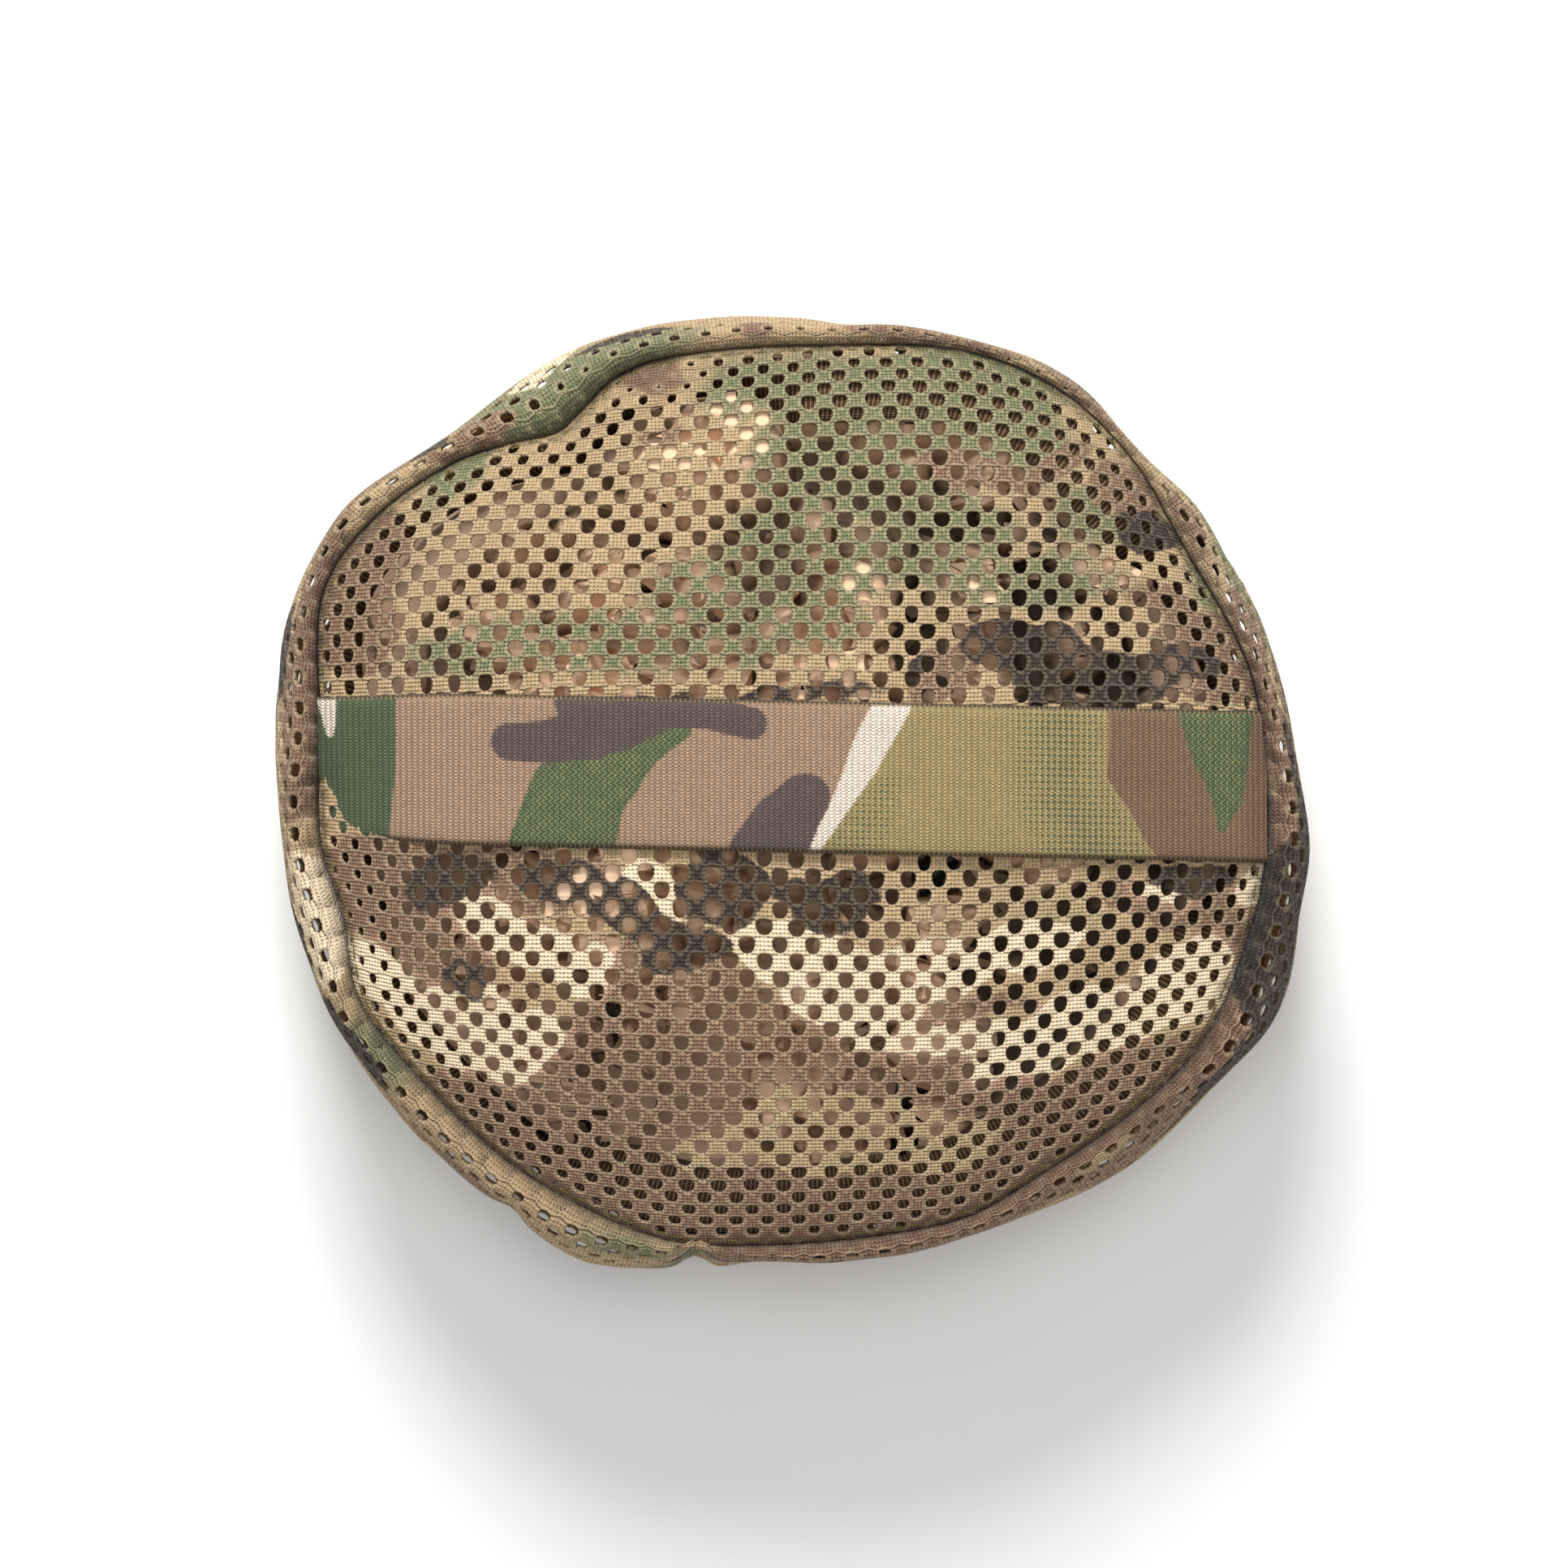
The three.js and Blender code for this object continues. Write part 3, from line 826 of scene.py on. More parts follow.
@dataclass
class PouchShape:
    """The pouch's surfaces: front panel, gusset wall and back panel, in millimetres."""

    back_seam_z: float = 4.0
    low_waist_z: float = 11.0
    high_waist_z: float = 24.0
    bulge_z: float = 34.0
    front_seam_z: float = 50.0
    front_edge_z: float = 50.5
    front_crown: float = 13.0
    crown_power: float = 2.9
    back_tuck: float = 7.0
    low_tuck: float = 3.2
    high_tuck: float = 0.7
    half_mesh: float = 0.45
    zip_centre: tuple[float, float] = (-1.0, -19.0)
    zip_radius: float = 95.0
    zip_z: float = 18.0
    wall_below: float = 31.5
    wall_above: float = 19.5
    shoulder_out: float = 6.5
    shoulder_up: float = 16.0
    notch_at: float = 258.0
    dent_at: float = 236.0
    fold_at: float = 117.0
    mean_seam: float = 78.0
    mean_wall: float = 80.0
    strap_middle: float = 2.6
    strap_slope: float = 0.023
    skin_room: float = 1.2
    tape_share: float = 0.97
    hung_tape_room: float = 4.5
    flat_tape_room: float = 6.0
    coil_room: float = 4.5
    bulge_corners: tuple = (
        (-11, 81), (9, 80), (31, 76), (44, 72), (55, 63), (66, 51), (76, 37), (84, 18), (87.7, -4),
        (87.6, -16), (82, -38), (71, -52), (55, -66), (34, -74), (10, -79), (-12, -80.8), (-34, -79.8),
        (-52, -69), (-68, -55), (-80, -37), (-87, -12), (-88, 12), (-86, 30), (-77, 46), (-60, 60),
        (-42, 73), (-27, 79),
    )  # fmt: skip
    seam_corners: tuple = (
        (-80, 34), (-80.5, 10), (-80.5, -8), (-76.5, -22), (-74, -35), (-66, -46), (-47, -64), (-22, -76),
        (-5, -77), (17, -75), (30, -72), (42, -65), (58, -54), (69, -43), (76, -28), (80, -12), (80, 6),
        (77, 22), (66, 42), (58, 56), (46, 68), (30, 75), (4, 76), (-14, 75), (-25, 73), (-31, 70),
        (-36.5, 64.5), (-40, 61.3), (-48, 59.3), (-58, 56), (-72, 46),
    )  # fmt: skip
    broad: Drift = field(default_factory=lambda: Drift(11, 26.0))
    medium: Drift = field(default_factory=lambda: Drift(12, 11.0))

    def __post_init__(self) -> None:
        """Prepares the outlines and the tables of arc length."""
        self.bulge_line = Outline(self.bulge_corners)
        self.seam_line = Outline(self.seam_corners)
        angles = np.linspace(0, math.tau, ROUND_SAMPLES)
        radii = self.bulge_line.radius(angles)
        steps = np.hypot(*np.diff(np.stack([radii * np.cos(angles), radii * np.sin(angles)]), axis=1))
        self.arc_angles = angles
        self.arc_lengths = np.concatenate([[0], np.cumsum(steps)])
        self.round = float(self.arc_lengths[-1])
        turn = np.linspace(0, math.pi / 2, 91)
        quarter = np.stack([self.shoulder_out * np.sin(turn), self.shoulder_up * np.cos(turn)])
        arc = np.concatenate([[0], np.cumsum(np.hypot(*np.diff(quarter, axis=1)))])
        self.shoulder_turns = turn
        self.shoulder_shares = arc / arc[-1]

    @property
    def wall_height(self) -> float:
        """Length of cloth up the wall, from the back seam to the front seam."""
        return self.wall_below + self.wall_above

    def bulge(self, angle: Array) -> Array:
        """Radius of the widest line, with a pinch where the gusset is joined and a dent beside it."""
        pinch = 2.0 * bump_at(turn_from(angle, self.notch_at), 1.5)
        dent = 1.1 * bump_at(turn_from(angle, self.dent_at), 2.0)
        return self.bulge_line.radius(angle) - pinch - dent

    def seam(self, angle: Array) -> Array:
        """Radius of the front seam."""
        return self.seam_line.radius(angle)

    def back(self, angle: Array) -> Array:
        """Radius of the back seam."""
        return self.bulge_line.radius(angle) - self.back_tuck

    def zip_line(self, angle: Array) -> Array:
        """Distance from the origin to the zip's circle."""
        cx, cy = self.zip_centre
        along = cx * np.cos(angle) + cy * np.sin(angle)
        return along + np.sqrt(self.zip_radius**2 - cx**2 - cy**2 + along**2)

    def waist(self, angle: Array, tuck: float) -> Array:
        """Radius at a waist: the zip's circle at the top, and the barrel elsewhere."""
        from_top = np.abs(turn_from(angle, 90))
        share = 1 - ease(from_top, 46, 64)
        barrel = self.bulge_line.radius(angle) - tuck
        return barrel + (self.zip_line(angle) - barrel) * share

    def wall(self, angle: Array, z: Array) -> Array:
        """Radius of the wall below its widest line.

        Args:
            angle: Bearings in radians.
            z: Heights, from the back seam to the widest line.

        Returns:
            The radii.
        """
        heights = np.array([self.back_seam_z, self.low_waist_z, self.high_waist_z, self.bulge_z])
        waists = [self.waist(angle, t) for t in (self.low_tuck, self.high_tuck)]
        radii = np.stack([self.back(angle), *waists, self.bulge(angle)])
        slopes = np.diff(radii, axis=0) / np.diff(heights)[:, None]
        pairs = slopes[:-1] * slopes[1:]
        total = slopes[:-1] + slopes[1:]
        inner = np.where(pairs > 0, 2 * pairs / np.where(total == 0, 1, total), 0)
        tangents = np.concatenate([slopes[:1], inner, np.zeros_like(slopes[:1])])
        k = np.clip(np.searchsorted(heights, z) - 1, 0, 2)
        n = np.arange(len(k))
        step = np.diff(heights)[k]
        leaving, arriving = step * tangents[k, n], step * tangents[k + 1, n]
        return ramp((z - heights[k]) / step, radii[k, n], radii[k + 1, n], leaving, arriving)

    def angle_at(self, u: Array) -> Array:
        """Bearing in radians after a length of cloth round the widest line."""
        return np.interp(np.mod(u, self.round), self.arc_lengths, self.arc_angles)

    def length_at(self, angle: float) -> float:
        """Length of cloth round the widest line up to a bearing in radians."""
        return float(np.interp(angle % math.tau, self.arc_angles, self.arc_lengths))

    def height_of(self, z: float) -> float:
        """Length of cloth up the lower wall to a height."""
        return (z - self.back_seam_z) * self.wall_below / (self.bulge_z - self.back_seam_z)

    def gusset(self, u: Array, v: Array) -> Array:
        """Places cloth on the gusset.

        Args:
            u: Cloth round the pouch from bearing 0.
            v: Cloth up the wall from the back seam.

        Returns:
            Points, one row each.
        """
        angle = self.angle_at(u)
        low = np.clip(v, 0, self.wall_below)
        z = self.back_seam_z + low * (self.bulge_z - self.back_seam_z) / self.wall_below
        radius = self.wall(angle, z)
        share = np.clip((v - self.wall_below) / self.wall_above, 0, 1)
        turn = np.interp(1 - share, self.shoulder_shares, self.shoulder_turns)
        over = share > 0
        fold = bump_at(turn_from(angle, self.fold_at), 9)
        ends = bump_at(turn_from(angle, 3), 11) + bump_at(turn_from(angle, 176), 11)
        lift = 3.6 + 3.0 * fold + 2.4 * ends + 0.7 * self.medium.at(u, v * 0)
        shoulder = self.seam(angle) + (self.bulge(angle) - self.seam(angle)) * np.sin(turn) ** 0.9
        radius = np.where(over, shoulder, radius)
        roll = lift * (1 - np.exp(-turn / 0.3)) * np.cos(turn)
        rise = self.bulge_z + (self.front_seam_z - self.bulge_z) * np.cos(turn) + roll
        z = np.where(over, rise, z)
        radius = radius + self.slack(angle, v)
        return np.stack([radius * np.cos(angle), radius * np.sin(angle), z], 1)

    def slack(self, angle: Array, v: Array) -> Array:
        """How far loose cloth stands out of the smooth wall.

        Args:
            angle: Bearings in radians.
            v: Cloth up the wall.

        Returns:
            Offsets along the radius, none at the seams and little at the zip.
        """
        free = ease(v, 0, 7) * (1 - ease(v, self.wall_height - 4, self.wall_height))
        by_zip = (1 - ease(np.abs(turn_from(angle, 90)), 40, 56)) * (1 - ease(v, 21, 30))
        x, y = self.mean_wall * np.cos(angle), self.mean_wall * np.sin(angle)
        waves = 1.3 * self.broad.at(x + v, y - 0.4 * v) + 0.7 * self.medium.at(x + 0.6 * v, y + 0.5 * v)
        crease = -1.6 * bump_at(turn_from(angle, self.notch_at), 2.2)
        slump = 0.9 * np.sin(v * 0.33 + 2.0 * self.broad.at(x, y)) * ease(35 - v, 0, 12)
        return free * (1 - by_zip) * (waves + crease + slump)

    def hanging(self, angle: Array) -> Array:
        """How far the front seam's allowance hangs down: 0 where it lies flat, 1 where it hangs."""
        low = 1 - ease(np.abs(turn_from(angle, 292)), 44, 56)
        high = 1 - ease(np.abs(turn_from(angle, 64)), 24, 34)
        return 1 - np.maximum(low, high)

    def share_at(self, x: Array, y: Array, line: Callable[[Array], Array]) -> Array:
        """How far out each point lies: 0 at the centre, 1 on the outline."""
        return np.hypot(x, y) / line(np.arctan2(y, x))

    def front_z(self, x: Array, y: Array) -> Array:
        """Height of the front panel's middle surface.

        Args:
            x: Plan coordinate to the right.
            y: Plan coordinate to the top.

        Returns:
            The heights.
        """
        share = np.clip(self.share_at(x, y, self.seam), 0, 1)
        crown = self.front_edge_z + self.front_crown * (1 - share**self.crown_power)
        free = 1 - ease(share, 0.86, 1.0)
        from_strap = y - self.strap_middle + self.strap_slope * x
        under_strap = bump_at(from_strap, 15) * ease(self.mean_seam - np.abs(x), 0, 12)
        waves = 0.9 * self.broad.at(x, y) + 0.35 * self.medium.at(x, y)
        tucks = 0.55 * np.sin(1.15 * np.hypot(x + 27, y - 84) + 0.5 * x)
        near_fold = spot_at(x, y, (-25, 70), (16, 9)) * (1 - ease(share, 0.97, 1.0))
        groove = -1.1 * bump_at((1 - share) * self.mean_seam, 1.6)
        valley = -1.3 * bump_at((x - 46) * 0.83 + (y + 32) * 0.55, 6) * bump_at(y + 32, 26)
        valley -= 0.9 * bump_at(x - 3, 6) * bump_at(y - 40, 18)
        return crown + groove + free * (waves * (1 - 0.7 * under_strap) + valley) + tucks * near_fold

    def hold_in(self, points: Array, gap: float) -> Array:
        """Moves points that come too near the skin back inside it.

        Args:
            points: Points in millimetres.
            gap: Distance kept from the skin's middle surface.

        Returns:
            The points.
        """
        x, y, z = points.T
        angle = np.arctan2(y, x)
        low = self.wall(angle, np.clip(z, self.back_seam_z, self.bulge_z))
        climb = np.clip((z - self.bulge_z) / (self.front_seam_z - self.bulge_z), 0, 1)
        high = self.seam(angle) + (self.bulge(angle) - self.seam(angle)) * np.sqrt(1 - climb**2)
        limit = np.where(z > self.bulge_z, high, low) - gap - self.skin_room
        flat_tape = self.flat_tape_room * (1 - self.hanging(angle))
        by_tape = self.seam(angle) * self.tape_share - self.hung_tape_room - gap - flat_tape
        limit = limit + (np.minimum(limit, by_tape) - limit) * ease(z, 32, 38)
        by_zip = (1 - ease(np.abs(turn_from(angle, 90)), 40, 48)) * (1 - ease(np.abs(z - self.zip_z), 9, 14))
        limit = limit - self.coil_room * by_zip
        shrink = np.minimum(1, limit / np.maximum(np.hypot(x, y), 1e-6))
        x, y = x * shrink, y * shrink
        z = np.clip(z, self.back_z(x, y) + gap, self.front_z(x, y) - gap)
        return np.stack([x, y, z], 1)

    def back_z(self, x: Array, y: Array) -> Array:
        """Height of the back panel's middle surface: flat, and turned up at its rim."""
        share = np.clip(self.share_at(x, y, self.back), 0, 1)
        return self.half_mesh + (self.back_seam_z - 1.25) * ease(share, 0.9, 1.0)


# ---- camouflage


# Millimetres of the gusset's cloth to a degree round the pouch.
RIM_SCALE = 1.47


@dataclass(frozen=True)
class Blot:
    """One blotch: an ellipse by its middle, its half lengths and its turn in degrees."""

    x: float
    y: float
    half_x: float
    half_y: float
    turn: float = 0.0

    def reach(self, x: Array, y: Array) -> Array:
        """How far inside the blotch each point is, in millimetres, negative outside."""
        c, s = math.cos(math.radians(self.turn)), math.sin(math.radians(self.turn))
        dx, dy = x - self.x, y - self.y
        size = np.hypot((dx * c + dy * s) / self.half_x, (dy * c - dx * s) / self.half_y)
        return (1 - size) * min(self.half_x, self.half_y)


@dataclass(frozen=True)
class Stroke:
    """One blotch drawn as a brush stroke through points, each with its own half width."""

    points: tuple[tuple[float, float, float], ...]

    def reach(self, x: Array, y: Array) -> Array:
        """How far inside the stroke each point is, in millimetres, negative outside."""
        best = np.full(len(x), -99.0)
        for (ax, ay, ar), (bx, by, br) in zip(self.points[:-1], self.points[1:]):
            length = (bx - ax) ** 2 + (by - ay) ** 2
            t = np.clip(((x - ax) * (bx - ax) + (y - ay) * (by - ay)) / length, 0, 1)
            away = np.hypot(x - ax - t * (bx - ax), y - ay - t * (by - ay))
            best = np.maximum(best, ar + (br - ar) * t - away)
        return best


@dataclass
class Camouflage:
    """Blotches of each tone, with ragged edges."""

    blots: dict[Tone, tuple[Blot, ...]]
    seed: int
    wander: float | Array = 3.0
    limit: float = 6.0

    def paint(self, piece: Object, x: Array, y: Array) -> None:
        """Stores every tone's area on the piece.

        Args:
            piece: The piece.
            x: Cloth coordinate of each vertex.
            y: The other one.
        """
        coarse, fine = Drift(self.seed, 13.0), Drift(self.seed + 1, 4.5)
        shifted_x = x + self.wander * coarse.at(x, y) + 0.45 * self.wander * fine.at(x, y)
        shifted_y = y + self.wander * coarse.at(y + 200, x) * 0.8 + 0.4 * self.wander * fine.at(y + 90, x)
        for tone in Tone:
            reach = np.full(len(x), -self.limit)
            for blot in self.blots.get(tone, ()):
                reach = np.maximum(reach, blot.reach(shifted_x, shifted_y))
            add_layer(piece, tone.value, np.clip(reach, -self.limit, self.limit))


def spots(*rows: tuple[float, ...]) -> tuple[Blot, ...]:
    """Blotches from rows of a middle, half lengths and a turn."""
    return tuple(Blot(*row) for row in rows)


def rim_spots(*rows: tuple[float, float, float, float]) -> tuple[Blot, ...]:
    """The gusset's blotches, from rows of bearing, depth below the front seam, half span and half depth."""
    return tuple(Blot(at * RIM_SCALE, depth, span * RIM_SCALE, tall) for at, depth, span, tall in rows)


FRONT_BLOTS: dict[Tone, tuple[Blot, ...]] = {
    Tone.GREEN: spots(
        (16, 68, 30, 7), (34, 62, 14, 10, -20), (18, 54, 15, 9, -25), (24, 43, 14, 7), (3, 40, 13, 8, -20),
        (2, 54, 9, 9), (-6, 31, 20, 8, -8), (-32, 26, 24, 6, 4), (-52, 23, 14, 4.5), (4, 62, 10, 12),
        (40, 36, 16, 4), (-57, 55, 4, 8, -40), (52, 46, 10, 4.5, -15), (47, 39, 6, 3),
        (-42, -59, 15, 4, -30), (-22, -66, 9, 3, -12), (-30, 72, 6, 3), (70, 37, 4, 6, 40),
    ),
    Tone.BROWN: spots(
        (-71, 42, 8, 8), (-74, 31, 8, 10), (-24, 70, 6, 3.5), (-22, 61, 5, 1.6), (27, 19, 8, 4, 20),
        (31, 54, 9, 2.4, -8), (45, 56, 7, 3, 10), (70, 23, 12, 8), (62, 32, 6, 2.5, -20), (-68, -15, 15, 9),
        (-60, -26, 9, 12, 15), (-50, -14, 22, 6), (-33, -30, 9, 5), (-18, -45, 23, 15),
        (-40, -58, 24, 16, -15), (-5, -70, 45, 10), (46, -58, 32, 9, 26), (18, -46, 18, 6, -12),
        (30, -53, 10, 9), (73, -22, 8, 8), (61, -35, 6, 2.4, -10), (26, -35, 14, 2.0),
        (58, -17, 11, 3.2, -6), (-62, -58, 10, 6, 40), (56, 50, 4, 5, 30),
    ),
    Tone.KHAKI: spots(
        (8, -57, 18, 8, 3), (22, -58, 12, 6), (-8, -60, 10, 4), (44, -18, 6, 4),
    ),
    Tone.CREAM: spots(
        (-24, -18, 4.6, 7.5, 18), (-46, -26, 12, 5, -28), (-38, -31, 6, 5), (-70, -31, 9, 5, -35),
        (-57, -40, 12, 6, -12), (-46, -43, 7, 6, -30), (0, -27, 12, 6, -8), (10, -33, 12, 8, -20),
        (26, -28, 14, 4.5, 6), (24, -40, 16, 3.2, -4), (40, -44, 9, 5, 10), (52, -38, 15, 7, 16),
        (66, -31, 9, 9, 30), (61, -15, 5, 2.2), (77, -14, 3, 4), (38, -25, 9, 5, 20),
    ),
    Tone.DARK: spots(
        (-57, -15, 8, 5.5, 15), (-38, -14, 7, 4), (-30, -20, 8, 5, -35), (-20, -26, 10, 4, -12),
        (-12, -16, 8, 7, 15), (8, -19, 8, 4.6), (0, -16, 7, 2.5), (40, 24, 10, 5.6, -6),
        (49, 19.5, 14, 5.6, -4), (62, 22, 11, 3.6, 4), (60, 44, 4.5, 3.6, -30), (-8, 16, 22, 1.8),
        (-56, -32.5, 3.0, 3.0), (66, -13, 8, 2.4), (23, 20, 3, 1.6),
    ),
}  # fmt: skip

# The brown and dark blots from bearing 318 to 356, on the rim's right side, are partly print and partly
# painted shade that darkens that side of the rim.
GUSSET_BLOTS: dict[Tone, tuple[Blot, ...]] = {
    Tone.GREEN: rim_spots(
        (118, 4, 15, 6), (128, 12, 6, 5), (28, 12, 12, 4), (212, 3, 5, 3), (250, 4, 6, 3), (160, 24, 14, 5),
        (70, 30, 16, 6), (300, 28, 14, 6), (210, 36, 16, 6), (20, 38, 15, 6), (340, 14, 5, 4),
        (108, 44, 12, 5), (262, 20, 10, 4),
    ),
    Tone.BROWN: rim_spots(
        (132, 4, 6, 4), (145, 10, 10, 5), (158, 3, 10, 4), (172, 4, 12, 6), (72, 4, 12, 4), (52, 6, 8, 5),
        (35, 4, 5, 2.5), (318, 6, 24, 12), (280, 5, 22, 9), (350, 6, 8, 9), (228, 14, 10, 6), (95, 3, 3, 2),
        (110, 22, 12, 5), (40, 26, 14, 6), (190, 30, 16, 7), (250, 34, 18, 8), (330, 38, 16, 7),
        (60, 44, 14, 5), (150, 42, 14, 5), (285, 46, 12, 5), (10, 18, 8, 8), (347, 7, 22, 10), (8, 4, 9, 4),
        (20, 7, 5, 5),
    ),
    Tone.KHAKI: rim_spots(
        (310, 4, 4, 2), (300, 12, 6, 4), (290, 34, 8, 5),
    ),
    Tone.CREAM: rim_spots(
        (196, 4, 8, 6), (122, 12, 5, 4), (98, 26, 9, 5), (230, 26, 9, 5), (330, 26, 8, 4), (52, 18, 8, 4),
        (175, 46, 10, 4), (10, 46, 8, 4),
    ),
    Tone.DARK: rim_spots(
        (197, 15, 8, 6), (210, 8, 6, 5), (344, 6, 12, 8), (354, 12, 9, 7), (330, 12, 9, 6), (2, 8, 7, 3),
        (137, 8, 3, 4), (62, 14, 10, 4), (110, 8, 6, 2), (150, 22, 8, 4), (320, 18, 10, 5),
        (268, 12, 14, 5), (240, 44, 10, 4), (25, 32, 9, 4), (90, 40, 12, 4), (165, 12, 4, 5),
    ),
}  # fmt: skip


# ---- the knitted skin


@dataclass
class Sheet:
    """A knitted sheet before it is placed: its vertices on the cloth and its faces."""

    cloth: Array
    rise: Array
    faces: list[list[int]]
    under: list[list[int]]
    corners: Array
    under_corners: Array


@dataclass
class Knit:
    """Mesh cloth with staggered holes, each in its own diamond of faces."""

    pitch: float = 5.55
    hole_wide: float = 2.6
    hole_tall: float = 2.8
    sides: int = 12
    top_square: float = 3.6
    bottom_square: float = 2.2
    lip: float = 0.36
    hole_reach: float = 0.83
    lip_reach: float = 0.93
    hole_rise: float = 0.3
    lip_rise: float = 0.5
    block_rise: float = 0.38
    jitter: float = 0.1
    wander: float = 0.13
    least_size: float = 0.1
    least_face: float = 2e-3
    weld: float = 0.02

    @property
    def row(self) -> float:
        """Height of one row of holes."""
        return self.pitch / 2

    def _rings(self) -> Array:
        """Points of one cell about its middle: hole, lip and diamond, each once round."""
        angle = equal_turns(self.sides)
        c, s = np.cos(angle), np.sin(angle)
        power = np.where(s > 0, self.top_square, self.bottom_square)
        size = (np.abs(c) ** power + np.abs(s) ** power) ** (-1 / power)
        hole = np.stack([c * size * self.hole_wide / 2 * (1 + 0.07 * s), s * size * self.hole_tall / 2], 1)
        outward = np.stack([c, s], 1)
        diamond = outward * (self.row / (np.abs(c) + np.abs(s)))[:, None]
        return np.stack([hole, hole + outward * self.lip, diamond])

    def lay(
        self,
        middles: Array,
        size: Array,
        confine: Callable[[Array], Array],
        inside: Callable[[Array], Array],
        seed: int,
        round_by: float | None = None,
    ) -> Sheet:
        """Lays cells out, cut to an outline.

        Args:
            middles: Middle of each cell on the cloth.
            size: How open each cell's hole is; one under the least size is closed.
            confine: Moves points that lie outside the sheet onto its edge.
            inside: Tells which points are on the sheet.
            seed: Seed of the holes' small differences.
            round_by: Length after which the cloth meets itself, or None.

        Returns:
            The sheet.
        """
        rng = np.random.default_rng(seed)
        rings, n, count = self._rings(), self.sides, len(middles)
        scale = size[:, None] * (1 + rng.uniform(-self.jitter, self.jitter, (count, 2)) * [1.0, 0.8])
        shift = rng.uniform(-1, 1, (count, 2)) * self.wander
        points = np.empty((count, 3 * n + 1, 2))
        for ring in (0, 1):
            around = slice(ring * n, (ring + 1) * n)
            points[:, around] = rings[ring] * scale[:, None, :] + (middles + shift)[:, None]
        points[:, 2 * n : 3 * n] = rings[2] + middles[:, None]
        points[:, 3 * n] = middles + shift
        for ring, share in ((0, self.hole_reach), (1, self.lip_reach)):
            part = points[:, ring * n : (ring + 1) * n] - middles[:, None]
            reach = np.abs(part).sum(2, keepdims=True) / (self.row * share)
            points[:, ring * n : (ring + 1) * n] = part / np.maximum(reach, 1) + middles[:, None]
        rises = np.repeat([self.hole_rise, self.lip_rise, self.block_rise, self.lip_rise], [n, n, n, 1])
        following = [(k, (k + 1) % n) for k in range(n)]
        outer = [[2 * n + k, 2 * n + j, n + j, n + k] for k, j in following]
        inner = [[n + k, n + j, j, k] for k, j in following]
        plain = [[2 * n + k, 2 * n + j, j, k] for k, j in following]
        cap = np.array([[k, j, 3 * n, 3 * n] for k, j in following])
        flat = points.reshape(-1, 2)
        base = (np.arange(count) * (3 * n + 1))[:, None, None]
        caps = (base[size < self.least_size] + cap[None]).reshape(-1, 4)
        held = confine(flat)
        keys = np.round(held / self.weld).astype(np.int64)
        if round_by:
            keys[:, 0] %= int(round(round_by / self.weld))
        _, first, welded = np.unique(keys, axis=0, return_index=True, return_inverse=True)
        welded = welded.ravel()
        skins, maps = [], []
        for pattern in (outer + inner, plain):
            quads = np.concatenate([(base + np.array(pattern)[None]).reshape(-1, 4), caps])
            quads = quads[inside(flat[quads].reshape(-1, 2)).reshape(-1, 4).any(1)]
            quads = quads[self._area(held[quads], round_by) > self.least_face]
            faces, corners = [], []
            for quad, joined in zip(quads.tolist(), welded[quads].tolist()):
                kept = [i for i in range(4) if joined[i] not in joined[:i]]
                if len(kept) > 2:
                    faces.append([joined[i] for i in kept])
                    corners.extend(quad[i] for i in kept)
            skins.append(faces)
            maps.append(flat[corners])
        return Sheet(held[first], np.tile(rises, count)[first], skins[0], skins[1], maps[0], maps[1])

    def _area(self, quads: Array, round_by: float | None) -> Array:
        """Area of each small face on the cloth."""
        rel = quads - quads[:, :1]
        if round_by:
            rel[..., 0] = (rel[..., 0] + round_by / 2) % round_by - round_by / 2
        x, y = rel[..., 0], rel[..., 1]
        return np.abs((x * np.roll(y, -1, 1) - y * np.roll(x, -1, 1)).sum(1)) / 2

    def raise_up(
        self, name: str, sheet: Sheet, place: Callable[[Array, Array], Array]
    ) -> tuple[Object, Array]:
        """Gives a sheet its place and thickness.

        Args:
            name: The piece's name.
            sheet: The sheet.
            place: Puts cloth points in space; its u and v directions give the outward side.

        Returns:
            The piece with its weave map and lips, and the sheet's vertex that each of its own comes from.
        """
        u, v = sheet.cloth[:, 0], sheet.cloth[:, 1]
        middle = place(u, v)
        beside = 0.4
        along_u = place(u + beside, v) - place(u - beside, v)
        along_v = place(u, v + beside) - place(u, v - beside)
        normal = unit(np.cross(along_u, along_v))
        rise = sheet.rise[:, None]
        points = np.concatenate([middle + normal * rise, middle - normal * rise])
        count = len(middle)
        faces = list(sheet.faces)
        faces += [[i + count for i in reversed(f)] for f in sheet.under]
        starts = np.cumsum([0] + [len(f) for f in sheet.under])
        backwards = [np.arange(b - 1, a - 1, -1) for a, b in zip(starts[:-1], starts[1:])]
        corners = [sheet.corners, sheet.under_corners[np.concatenate(backwards)]]
        once: dict[tuple[int, int], tuple[int, int]] = {}
        start = 0
        for f in sheet.faces:
            for k, a in enumerate(f):
                following = (k + 1) % len(f)
                if once.pop((f[following], a), None) is None:
                    once[(a, f[following])] = (start + k, start + following)
            start += len(f)
        walls = []
        for (a, b), (at_a, at_b) in once.items():
            faces.append([b, a, a + count, b + count])
            walls += [at_b, at_a, at_a, at_b]
        corners.append(sheet.corners[walls])
        used, order = np.unique(np.concatenate([np.array(f) for f in faces]), return_inverse=True)
        cuts = np.cumsum([0] + [len(f) for f in faces])
        order = order.ravel().tolist()
        faces = [order[a:b] for a, b in zip(cuts[:-1], cuts[1:])]
        made = mesh_object(name, points[used], faces)
        if len(made.data.loops) != sum(len(c) for c in corners):
            raise RuntimeError(f"{name}: the mesh lost faces, so its weave map does not fit")
        add_weave(made, np.concatenate(corners) / [self.pitch, self.row])
        origin = used % count
        # The lip layer marks the hole and lip rings, where the knit's material paints a highlight.
        add_layer(made, "lip", sheet.rise[origin] != self.block_rise)
        return made, origin


